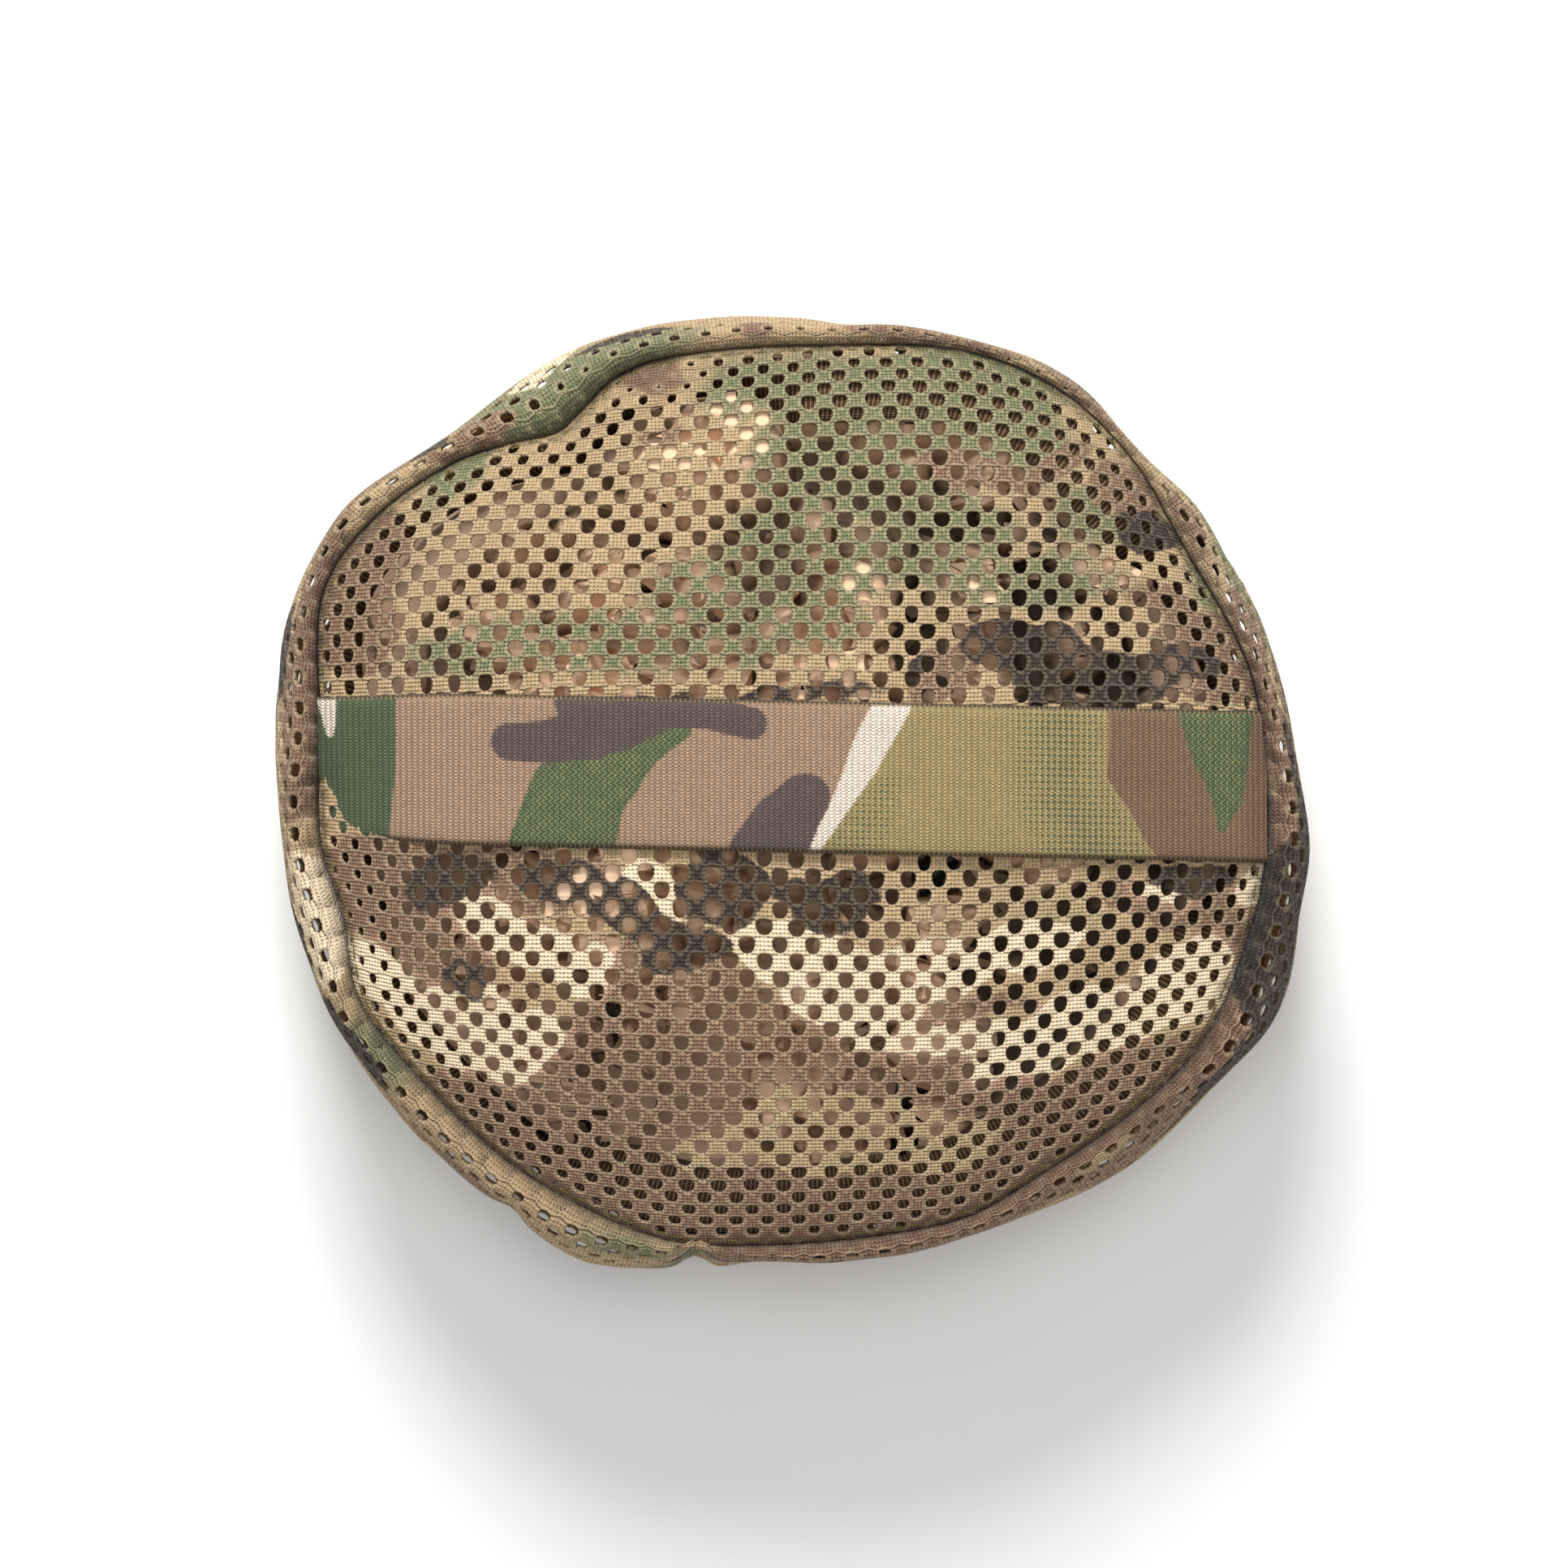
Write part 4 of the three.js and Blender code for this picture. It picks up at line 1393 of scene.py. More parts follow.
@dataclass
class Skin:
    """The knitted front panel, gusset and back panel."""

    shape: PouchShape
    cloth: Material
    knit: Knit = field(default_factory=Knit)
    plain_knit: Knit = field(default_factory=lambda: Knit(sides=8))
    panel_reach: float = 104.0
    panel_hem: float = 1.5
    gusset_hem: float = 1.4
    window_half_height: float = 4.6
    window_half_turn: float = 33.5
    window_hem: float = 2.6
    shut_size: float = 0.05
    rows_up: int = 18

    def build(self) -> None:
        """Makes and dresses the three knitted pieces."""
        self._panel("front", self.shape.seam, self.shape.front_z, 1)
        self._panel("back", self.shape.back, self.shape.back_z, -1)
        self._gusset()

    def _panel(
        self, name: str, line: Callable[[Array], Array], height: Callable[[Array, Array], Array], side: int
    ) -> None:
        """Makes one round panel.

        Args:
            name: Which panel.
            line: Its outline, as a radius at an angle.
            height: Its height over the plan.
            side: 1 if its outer side faces up, -1 if down.
        """
        front = side > 0
        shape = self.shape
        knit = self.knit if front else self.plain_knit
        reach = math.ceil(self.panel_reach / knit.pitch)
        columns, rows = np.meshgrid(np.arange(-reach, reach + 1), np.arange(-2 * reach, 2 * reach + 1))
        middles = np.stack([(columns + 0.5 * (rows % 2)) * knit.pitch, rows * knit.row], 2).reshape(-1, 2)

        def drawn(cloth: Array) -> Array:
            """Where the cloth lies in plan: it sways a little, and the dome crowds it towards the seam."""
            x, y = cloth[:, 0], cloth[:, 1]
            if not front:
                return cloth
            bent_x = x + 1.2 * shape.broad.at(y * 0.6 - 70, x * 0.6)
            bent_y = y + 1.7 * shape.broad.at(x * 0.6 + 40, y * 0.6)
            share = shape.share_at(bent_x, bent_y, line)
            crowd = 1 - 0.05 * share**2 - 0.02 * share**6
            return np.stack([bent_x * crowd, bent_y * crowd], 1)

        def edge(angle: Array) -> Array:
            """The outline on the cloth, which is mirrored where the panel faces down."""
            return line(angle) if front else line(math.pi - angle)

        def confine(cloth: Array) -> Array:
            """Moves what lies past the seam onto it."""
            flat = drawn(cloth)
            return flat / np.maximum(shape.share_at(*flat.T, edge), 1)[:, None]

        def inside(cloth: Array) -> Array:
            """Whether a point lies within the seam."""
            return shape.share_at(*drawn(cloth).T, edge) < 1

        def place(x: Array, y: Array) -> Array:
            """A plan point on the panel, mirrored in plan for a panel that faces down."""
            return np.stack([side * x, y, height(side * x, y)], 1)

        middles = middles[shape.share_at(*middles.T, line) < 1.2]
        middles = middles[shape.share_at(*drawn(middles).T, line) < 1.05]
        flat_x, flat_y = drawn(middles).T
        share = shape.share_at(flat_x, flat_y, line)
        puckered = spot_at(flat_x, flat_y, (-24, 70.5), (8, 3.6)) * front
        tight = 0.8 * spot_at(flat_x, flat_y, (-74, -20), (9, 13)) * front
        size = 1.0 - 0.2 * ease(share, 0.85, 1.0) - 0.95 * puckered - 0.4 * tight
        size = np.where((1 - share) * shape.mean_seam < self.panel_hem, self.shut_size, size)
        sheet = knit.lay(middles, size, confine, inside, 21 + side)
        piece, origin = knit.raise_up(f"knit_{name}", sheet, place)
        x, y = sheet.cloth[origin].T
        # Painted shade: the crease layer darkens the knit next to the seam, in its groove.
        add_layer(piece, "crease", bump_at((1 - shape.share_at(x, y, edge)) * shape.mean_seam, 1.3))
        if front:
            Camouflage(FRONT_BLOTS, 31).paint(piece, x, y)
        else:
            Camouflage(FRONT_BLOTS, 57).paint(piece, y - 8, -x)
        dress(piece, self.cloth, f"{name}_panel")

    def _gusset(self) -> None:
        """Makes the wall, with its window for the zip."""
        shape = self.shape
        knit = self.plain_knit
        columns = round(shape.round / knit.pitch)
        stretch = shape.round / (columns * knit.pitch)
        top = shape.wall_height
        count, row = np.meshgrid(np.arange(columns), np.arange(-1, self.rows_up + 2))
        u = (count + 0.5 * (row % 2)) * knit.pitch
        middles = np.stack([u, row * knit.row], 2).reshape(-1, 2)
        left, right, low, high = self.window()

        def stretched(cloth: Array) -> Array:
            """The cloth drawn out evenly to meet itself."""
            return cloth * [stretch, 1.0]

        def in_window(cloth: Array) -> Array:
            """Whether a point lies in the zip's window."""
            around, up = cloth[:, 0] % shape.round, cloth[:, 1]
            return (around > left) & (around < right) & (up > low) & (up < high)

        def confine(cloth: Array) -> Array:
            """Moves points past a seam, or in the window, onto the nearest edge."""
            held = stretched(cloth)
            held[:, 1] = np.clip(held[:, 1], 0, top)
            lost = in_window(held)
            around, up = held[lost, 0] % shape.round, held[lost, 1]
            gaps = np.stack([around - left, right - around, up - low, high - up], 1)
            ways = np.array([[-1, 0], [1, 0], [0, -1], [0, 1]])
            held[lost] += ways[gaps.argmin(1)] * gaps.min(1)[:, None]
            return held

        def inside(cloth: Array) -> Array:
            """Whether a point lies on the gusset."""
            held = stretched(cloth)
            return (held[:, 1] > 0) & (held[:, 1] < top) & ~in_window(held)

        around, up = stretched(middles).T
        angle = shape.angle_at(around)
        aside = np.maximum(np.maximum(left - around, around - right), 0)
        above = np.maximum(np.maximum(low - up, up - high), 0)
        hemmed = np.hypot(aside, above) < self.window_hem
        hemmed |= (up < self.gusset_hem) | (up > top - self.gusset_hem)
        tight = 0.55 * bump_at(turn_from(angle, shape.fold_at), 8) * ease(up, 40, 48)
        tight = tight + 0.35 * bump_at(turn_from(angle, 92), 14) * ease(up, 32, 40)
        tight = tight + 0.7 * bump_at(turn_from(angle, shape.notch_at), 2.5)
        size = np.where(hemmed, self.shut_size, 0.95 - tight)
        keep = inside(middles) | (np.abs(up - top / 2) < top / 2 + knit.row)
        sheet = knit.lay(middles[keep], size[keep], confine, inside, 23, shape.round)
        piece, origin = knit.raise_up("knit_gusset", sheet, shape.gusset)
        u, v = sheet.cloth[origin].T
        # Painted shade: the crease layer darkens the gusset next to its two seams.
        add_layer(piece, "crease", bump_at(top - v, 1.5) + 0.6 * bump_at(v, 1.5))
        wander = 2.0 + 2.6 * ease(top - v, 8, 20)
        degrees = np.degrees(shape.angle_at(u))
        Camouflage(GUSSET_BLOTS, 41, wander).paint(piece, degrees * RIM_SCALE, top - v)
        dress(piece, self.cloth, "gusset")

    def window(self) -> tuple[float, float, float, float]:
        """The zip's window on the gusset's cloth.

        Returns:
            Its left and right ends round the pouch, and its lower and upper edges up the wall.
        """
        shape = self.shape
        cx, cy = shape.zip_centre
        ends = []
        for bearing in (self.window_half_turn, -self.window_half_turn):
            x = cx + shape.zip_radius * math.sin(math.radians(bearing))
            y = cy + shape.zip_radius * math.cos(math.radians(bearing))
            ends.append(shape.length_at(math.atan2(y, x)))
        low = shape.height_of(shape.zip_z - self.window_half_height)
        high = shape.height_of(shape.zip_z + self.window_half_height)
        return ends[0], ends[1], low, high


# ---- webbing


@dataclass
class Strap:
    """The webbing across the front, tucked into the two side seams."""

    shape: PouchShape
    webbing: Material
    width: float = 25.4
    thickness: float = 1.4
    left_y: float = 4.4
    right_y: float = 0.9
    step: float = 0.25
    rib: float = 1.0
    rib_rise: float = 0.055
    clearance: float = 0.6
    across: int = 24
    left_tilt: float = 2.6
    right_tilt: float = 0.5
    edge_power: float = 9.0
    inset: float = 0.2
    dive_length: float = 5.0
    dive_depth: float = 0.9
    smooth_over: float = 12.0
    layer_limit: float = 6.0

    def build(self) -> None:
        """Makes and dresses the strap."""
        shape = self.shape
        left = self.inset - float(shape.seam(math.pi - 0.02))
        right = float(shape.seam(0.0)) - self.inset
        x = np.arange(left, right, self.step)
        middle = self.left_y + (self.right_y - self.left_y) * (x - left) / (right - left)
        base = shape.front_z(x, middle) + shape.half_mesh + self.clearance
        beside = np.maximum(*(shape.front_z(x, middle + side * self.width * 0.35) for side in (1, -1)))
        base = self._smooth(np.maximum(base, beside + shape.half_mesh + self.clearance * 0.5))
        half_span = (right - left) / 2
        dive = ease(np.abs(x - (left + right) / 2), half_span - self.dive_length, half_span)
        base = base - self.dive_depth * dive
        w = np.linspace(-1, 1, self.across + 1)
        full = (1 - np.abs(w) ** self.edge_power) ** 0.5
        loop_w = np.concatenate([w, w[::-1][1:-1]])
        loop_h = np.concatenate([full, -full[::-1][1:-1]])
        ribs = self.rib_rise * np.cos(math.tau * x / self.rib)
        tilt = self.left_tilt * (1 - ease(x, left, left + 26)) - self.right_tilt * ease(x, right - 12, right)
        half = self.thickness / 2 * (1 - 0.3 * dive)
        ribbed = np.sign(loop_h) * (np.abs(loop_h) > 0.5)
        lift = half[:, None] * (1 + loop_h[None]) + ribs[:, None] * ribbed[None]
        sway = 0.12 * shape.medium.at(x, x * 0)
        z = base[:, None] + lift + (tilt + sway)[:, None] * loop_w[None]
        y = middle[:, None] + (1 - 0.03 * tilt[:, None]) * loop_w[None] * self.width / 2
        loops = np.stack([np.broadcast_to(x[:, None], y.shape), y, z], 2)
        piece = Sweep(loops, x, rejoined(loop_w) * self.width / 2).build("woven_strap")
        self._weave_in(piece, np.repeat(x, len(loop_w)), np.tile(loop_w * self.width / 2, len(x)))
        dress(piece, self.webbing, "front_strap")

    def _smooth(self, values: Array) -> Array:
        """Evens out a row of heights along the strap."""
        size = int(self.smooth_over / self.step) | 1
        window = np.hanning(size)
        padded = np.pad(values, size // 2, mode="reflect", reflect_type="odd")
        return np.convolve(padded, window / window.sum(), mode="valid")

    def _weave_in(self, piece: Object, x: Array, w: Array) -> None:
        """Stores where each yarn shows.

        Args:
            piece: The strap.
            x: Place of each vertex along the strap.
            w: Place of each vertex across it.
        """
        drift = Drift(61, 9.0)
        sx, sw = x + 0.5 * drift.at(x, w), w + 0.4 * drift.at(w + 50, x)

        def past(*corners: tuple[float, float]) -> Array:
            """Distance to the right of an edge, by its places across and along the strap, bottom first."""
            return (sx - np.interp(sw, [c[0] for c in corners], [c[1] for c in corners])) * 0.9

        def drawn(*strokes: tuple[tuple[float, float, float], ...]) -> Array:
            """The union of some strokes."""
            return np.max([Stroke(points).reach(sx, sw) for points in strokes], axis=0)

        white_right = past((-13, 3.6), (-7, 7.4), (2, 13.2), (7, 16.0), (13, 19.4))
        olive_end = past((-13, 62), (-10, 59.5), (-4, 56.5), (1, 52.8), (13, 52.2))
        olive = np.minimum(white_right, -olive_end)
        corner = drawn(((-81, -13, 4.5), (-80, -9, 2.0)))
        stippled = drawn(
            ((44, 12, 7), (45, -2, 7), (51, -12, 8)),
            ((9, -12.5, 4.0), (13, -6, 3.0), (16, -1, 1.0)),
        )
        green_end = -past((-13, -68.3), (0, -66.6), (13, -66.9))
        wedge = drawn(
            ((-39, -13, 8.6), (-36.4, -4, 7.8), (-31.4, 0.5, 6.4), (-26, 4.6, 4.2), (-19, 7.2, 1.8)),
        )
        teardrop = drawn(((71.3, 13, 6.6), (72, 5.5, 5.0), (72.8, -2, 2.7), (72.4, -7, 0.9)))
        layers = {
            WebTone.UMBER: olive_end,
            WebTone.OLIVE: np.maximum(olive, corner),
            WebTone.STIPPLE: np.minimum(olive, stippled - 1),
            WebTone.GREEN: np.maximum(np.maximum(green_end, teardrop), wedge),
            WebTone.GLINT: np.maximum(wedge, teardrop),
            WebTone.WHITE: drawn(
                ((16.6, 13, 2.9), (11.2, 2, 2.5), (6.4, -7, 1.4), (2.8, -13, 1.0)),
                ((-79, 12.5, 1.8), (-78.3, 6, 0.8)),
            ),
            WebTone.DARK: drawn(
                ((-47.6, 5.0, 3.0), (-41, 5.0, 3.5), (-34, 6.6, 4.6), (-30, 10, 6.4), (-20, 12.6, 4.4)),
                ((-36.3, 11.6, 3.4), (-28, 12, 4.5)),
                ((-24, 11, 3.4), (-14, 10.6, 3.0), (-7, 9.0, 2.6)),
                ((-4.6, -13.5, 6.3), (-1.5, -8, 5.6), (1.6, -3.6, 4.3)),
            ),
        }
        for tone, values in layers.items():
            add_layer(piece, tone.value, np.clip(values, -self.layer_limit, self.layer_limit))


# ---- bindings and stitches


@dataclass
class Bindings:
    """Ribbed tape over the two seam allowances and behind the gusset's joining seam."""

    shape: PouchShape
    tape: Material
    width: float = 11.0
    thickness: float = 0.9
    pitch: float = 0.9
    rib_rise: float = 0.09
    outer_share: float = 0.97
    across: int = 5
    hang_degrees: float = 66.0
    below_panel: float = 1.35
    behind_gusset: float = 1.5

    def build(self) -> None:
        """Makes and dresses the bindings."""
        self._ring("front", -1)
        self._ring("back", 1)
        self._join_tape()

    def _section(self, stations: int) -> tuple[Array, Array, Array]:
        """The tape's section: its place across, which face each point is on, and each station's rib."""
        w = np.linspace(0, 1, self.across)
        loop_w = np.concatenate([w, w[::-1]])
        face = np.concatenate([np.ones(self.across), -np.ones(self.across)])
        ribs = self.rib_rise * np.where(np.arange(stations) % 2 == 0, 1.0, -1.0)
        return loop_w, face, ribs

    def _ring(self, name: str, side: int) -> None:
        """Makes one ring of tape along a seam.

        Args:
            name: Which seam.
            side: -1 for the front seam's tape, which lies under its panel, 1 for the back's.
        """
        shape = self.shape
        stations = 2 * round(shape.round * 0.93 / self.pitch)
        angle = -equal_turns(stations)
        loop_w, face, ribs = self._section(stations)
        line, height = (shape.seam, shape.front_z) if side < 0 else (shape.back, shape.back_z)
        hang = shape.hanging(angle)[:, None] * (side < 0)
        lean = math.radians(self.hang_degrees) * hang
        edge = line(angle)[:, None] * self.outer_share
        radius = edge - self.width * loop_w[None] * np.cos(lean)
        c, s = np.cos(angle)[:, None], np.sin(angle)[:, None]
        flat = height((radius * c).ravel(), (radius * s).ravel()).reshape(radius.shape)
        held = height((edge * c).ravel(), (edge * s).ravel())[:, None]
        z = flat + (held - flat) * hang + side * (self.below_panel + self.width * loop_w[None] * np.sin(lean))
        off = face[None] * (self.thickness / 2 + ribs[:, None] * 0.5)
        radius = radius - off * np.sin(lean)
        loops = np.stack([radius * c, radius * s, z + off * np.cos(lean)], 2)
        along = np.arange(stations + 1) * self.pitch / 2
        made = Sweep(loops, along, rejoined(loop_w) * self.width, True).build(f"{name}_binding")
        dress(made, self.tape, f"{name}_seam_binding")

    def _join_tape(self) -> None:
        """Makes the tape behind the gusset's joining seam."""
        shape = self.shape
        v = np.arange(shape.height_of(8), shape.height_of(34) + 8, self.pitch / 2)
        loop_w, face, ribs = self._section(len(v))
        centre = shape.length_at(math.radians(shape.notch_at))
        u = centre + (loop_w[None] - 0.5) * self.width + 0 * v[:, None]
        up = np.broadcast_to(v[:, None], u.shape)
        points = shape.gusset(u.ravel(), up.ravel()).reshape(*u.shape, 3)
        depth = self.behind_gusset - face[None] * (self.thickness / 2 + ribs[:, None] * 0.5)
        loops = (points - unit(points * [1, 1, 0]) * depth[..., None])[:, ::-1]
        made = Sweep(loops, v, rejoined(loop_w) * self.width).build("join_tape")
        dress(made, self.tape, "gusset_join_tape")


@dataclass
class Stitching:
    """Rows of lockstitch, each stitch a short rounded length of thread."""

    shape: PouchShape
    window: tuple[float, float, float, float]
    thread: Material
    length: float = 2.5
    gap: float = 0.55
    radius: float = 0.2
    sides: int = 6
    seam_share: float = 0.985
    proud: float = 0.4
    past_window: float = 1.8
    above_window: float = 1.3
    rings: tuple = (-0.5, -0.42, 0.0, 0.42, 0.5)
    girths: tuple = (0.35, 0.85, 1.0, 0.85, 0.35)
    sinks: tuple = (0.55, 0.15, 0.0, 0.15, 0.55)

    def build(self) -> None:
        """Makes and dresses the three rows of stitches."""
        shape = self.shape
        angle = np.linspace(0, math.tau, ROUND_SAMPLES)
        for name, line, height, side in (
            ("front", shape.seam, shape.front_z, 1),
            ("back", shape.back, shape.back_z, -1),
        ):
            radius = line(angle) * self.seam_share
            x, y = radius * np.cos(angle), radius * np.sin(angle)
            z = height(x, y) + side * (shape.half_mesh + self.radius * self.proud)
            self._row(f"{name}_stitches", np.stack([x, y, z], 1), f"{name}_seam_stitch")
        self._window_row()

    def _window_row(self) -> None:
        """Makes the stitches round the zip's window."""
        left, right, low, high = self.window
        left, right = left - self.past_window, right + self.past_window
        low, high = low - self.above_window, high + self.above_window
        long, short = 400, 40
        along, back = np.linspace(left, right, long), np.linspace(right, left, long)
        rising, falling = np.linspace(low, high, short), np.linspace(high, low, short + 1)
        u = np.concatenate([along, np.full(short, right), back, np.full(short + 1, left)])
        v = np.concatenate([np.full(long, low), rising, np.full(long, high), falling])
        points = self.shape.gusset(u, v)
        out = self.shape.half_mesh + self.radius * self.proud
        path = points + unit(points * [1, 1, 0]) * out
        self._row("window_stitches", path, "zip_window_stitch")

    def _row(self, name: str, path: Array, node: str) -> None:
        """Lays stitches end to end along a path.

        Args:
            name: The piece's name.
            path: Points of the path.
            node: The CAD node that it stands for.
        """
        far = np.concatenate([[0], np.cumsum(np.linalg.norm(np.diff(path, axis=0), axis=1))])
        count = int(far[-1] / (self.length + self.gap))
        pace = far[-1] / count
        rings, girth, sunk = (np.array(row) for row in (self.rings, self.girths, self.sinks))
        sides = self.sides
        points, faces, uv = [], [], []
        for i in range(count):
            at = (i + 0.5) * pace + rings * self.length
            middle = np.stack([np.interp(at, far, path[:, k]) for k in range(3)], 1)
            forward = unit(middle[-1] - middle[0])
            side = unit(np.cross(forward, [0.0, 0.0, 1.0]))
            up = np.cross(side, forward)
            body = middle[:, None] + hoop(side, up, sides) * (girth * self.radius)[:, None, None]
            points.append((body - ((sunk * self.radius)[:, None] * up)[:, None]).reshape(-1, 3))
            base = i * len(rings) * sides
            for k in range(len(rings) - 1):
                a, b = base + k * sides, base + (k + 1) * sides
                for j in range(sides):
                    n, low, high = (j + 1) % sides, j / sides, (j + 1) / sides
                    faces.append([a + j, b + j, b + n, a + n])
                    uv += [(at[k], low), (at[k + 1], low), (at[k + 1], high), (at[k], high)]
            last = base + (len(rings) - 1) * sides
            faces.append([base + j for j in range(sides)])
            faces.append([last + j for j in reversed(range(sides))])
            uv += [(end, j / sides) for end in (at[0], at[-1]) for j in range(sides)]
        made = mesh_object(name, np.concatenate(points), faces)
        edit_all(made, (bpy.ops.mesh.normals_make_consistent, {"inside": False}))
        add_weave(made, np.array(uv))
        dress(made, self.thread, node)


# ---- zip


@dataclass
class Zip:
    """Coils, stops, slider and pull tab of the closure; the tapes keep their CAD shape."""

    shape: PouchShape
    coil: Material
    metal: Material
    tape: Material
    coil_half_turn: float = 31.0
    coil_pitch: float = 1.4
    filament: float = 0.34
    coil_inner: float = -0.8
    coil_outer: float = 0.7
    coil_near: float = -0.25
    coil_far: float = 2.9
    coil_out_share: float = 0.75
    coil_up_share: float = 0.88
    slider_turn: float = -27.7
    steps: int = 12
    sides: int = 6
    plate_half_long: float = 5.0
    plate_half_wide: float = 4.4
    outer_plate: tuple[float, float] = (1.2, 2.3)
    inner_plate: tuple[float, float] = (-3.2, -2.2)
    flange_half_long: float = 4.4
    flange_up: tuple[float, float] = (0.5, 1.35)
    flange_wide: tuple[float, float] = (3.5, 4.2)
    neck: tuple = ((-4.9, -2.3, -0.55), (-3.4, 1.3, 0.55))
    bridge: tuple = (
        ((-3.0, 2.1, -0.85), (-2.1, 4.0, 0.85)),
        ((2.1, 2.1, -0.85), (3.0, 4.0, 0.85)),
        ((-3.0, 3.95, -0.85), (3.0, 4.75, 0.85)),
    )

    def build(self) -> None:
        """Makes and dresses the zip."""
        for name, side in (("upper", 1), ("lower", -1)):
            self._wind(name, side)
            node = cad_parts[f"zip_tape_{name}"]
            node.data.materials.clear()
            node.data.materials.append(self.tape)
        for name in ("top_stop_upper", "top_stop_lower", "bottom_stop"):
            self._softened(f"crimped_{name}", f"zip_{name}", 0.35, 30)
        self._slider()
        self._softened("pull_tongue", "zip_pull_tab", 0.22, 35, "pull")

    def _on_line(self, turn: Array, out: Array, z: Array) -> Array:
        """Points by degrees from the top of the zip's circle, distance out of it, and height."""
        cx, cy = self.shape.zip_centre
        radius, bearing = self.shape.zip_radius + out, np.radians(turn)
        return np.stack([cx + radius * np.sin(bearing), cy + radius * np.cos(bearing), z], -1)

    def _wind(self, name: str, side: int) -> None:
        """Winds one half of the coil as a continuous filament.

        Args:
            name: Which half.
            side: 1 for the upper half, -1 for the lower.
        """
        length = math.radians(2 * self.coil_half_turn) * self.shape.zip_radius
        winds = round(length / self.coil_pitch)
        count = winds * self.steps + 1
        t = np.arange(count) / self.steps
        lag = 0.5 if side > 0 else 0.0
        turn = -self.coil_half_turn + (t + lag) * self.coil_pitch / length * 2 * self.coil_half_turn
        phase = math.tau * t
        half_out, half_up = (self.coil_outer - self.coil_inner) / 2, (self.coil_far - self.coil_near) / 2
        out = (self.coil_inner + self.coil_outer) / 2 + half_out * self.coil_out_share * np.cos(phase)
        height = (self.coil_near + self.coil_far) / 2 - half_up * self.coil_up_share * np.sin(phase)
        path = self._on_line(turn, out, self.shape.zip_z + side * height)
        forward = unit(np.gradient(path, axis=0))
        first = unit(np.cross(forward, unit(path - np.array([*self.shape.zip_centre, self.shape.zip_z]))))
        ring = hoop(first, np.cross(forward, first), self.sides)
        loops = (path[:, None] + ring * self.filament)[:, ::-1]
        piece = Sweep(loops, t, np.arange(self.sides + 1) / self.sides).build(f"coil_{name}")
        dress(piece, self.coil, f"zip_coil_{name}")

    def _softened(self, name: str, node: str, width: float, sharp: float, body: str = POUCH) -> None:
        """Makes a fitting from a CAD node by rounding its edges.

        Args:
            name: The fitting's name.
            node: The CAD node.
            width: Width of its rounded edges.
            sharp: Least angle of an edge that is rounded, in degrees.
            body: The body that it moves with.
        """
        piece = copy_node(node, name, (bpy.ops.mesh.dissolve_limited, {"angle_limit": math.radians(2)}))
        round_edges(piece, width, sharp)
        bpy.ops.object.shade_smooth_by_angle(angle=math.radians(40))
        dress(piece, self.metal, node, body)

    def _block(self, low: Sequence[float], high: Sequence[float], cuts: int = 0) -> Object:
        """Adds a cube and shapes it to a box.

        Args:
            low: Its low corner in millimetres.
            high: Its high corner.
            cuts: How many times each edge is cut, so that the box can be shaped.

        Returns:
            The box.
        """
        bpy.ops.object.select_all(action="DESELECT")
        bpy.ops.mesh.primitive_cube_add(size=1, location=[(a + b) / 2 * MM for a, b in zip(low, high)])
        made = bpy.context.active_object
        made.scale = [(b - a) * MM for a, b in zip(low, high)]
        bpy.ops.object.transform_apply(location=True, rotation=True, scale=True)
        if cuts:
            edit_all(made, (bpy.ops.mesh.subdivide, {"number_cuts": cuts}))
        return made

    def _waisted(self, piece: Object, is_plate: bool) -> None:
        """Draws a part of the slider in at its waist, and a plate also towards its ends.

        Args:
            piece: The part, cut fine.
            is_plate: Whether it is a plate.
        """
        for vertex in piece.data.vertices:
            along = vertex.co.x / MM / self.plate_half_long
            width = 1 - 0.22 * math.exp(-((along - 0.15) ** 2) / 0.12)
            if is_plate:
                width -= 0.1 * max(0.0, along) ** 2
                width *= 1 - 0.25 * max(0.0, abs(along) - 0.7) / 0.3
            vertex.co.z *= width

    def _slider(self) -> None:
        """Makes the slider: two plates that widen to the open end, flanges, a neck and a bridge."""
        parts = []
        for low, high in (self.outer_plate, self.inner_plate):
            corner = (self.plate_half_long, self.plate_half_wide)
            plate = self._block((-corner[0], low, -corner[1]), (corner[0], high, corner[1]), 5)
            self._waisted(plate, True)
            round_edges(plate, 0.32)
            parts.append(plate)
        for side in (-1, 1):
            near, far = sorted(side * z for z in self.flange_wide)
            low, high = self.flange_up
            long = self.flange_half_long
            flange = self._block((-long, low, near), (long, high, far), 4)
            self._waisted(flange, False)
            round_edges(flange, 0.2)
            parts.append(flange)
        for low, high in (self.neck, *self.bridge):
            part = self._block(low, high)
            round_edges(part, 0.3)
            parts.append(part)
        only(parts[0])
        for part in parts:
            part.select_set(True)
        bpy.ops.object.join()
        slider = parts[0]
        slider.name = "slider_body"
        only(slider)
        bpy.ops.object.shade_smooth_by_angle(angle=math.radians(45))
        self._stand(slider)
        dress(slider, self.metal, "zip_slider", "slider")

    def _stand(self, piece: Object) -> None:
        """Moves a piece made about the slider's own middle to its place on the zip, and applies it."""
        x, y = self._on_line(np.array([self.slider_turn]), np.zeros(1), np.zeros(1))[0, :2]
        piece.rotation_euler = (0, 0, -math.radians(self.slider_turn))
        piece.location = (x * MM, y * MM, self.shape.zip_z * MM)
        only(piece)
        bpy.ops.object.transform_apply(location=True, rotation=True, scale=True)


# ---- paper filling


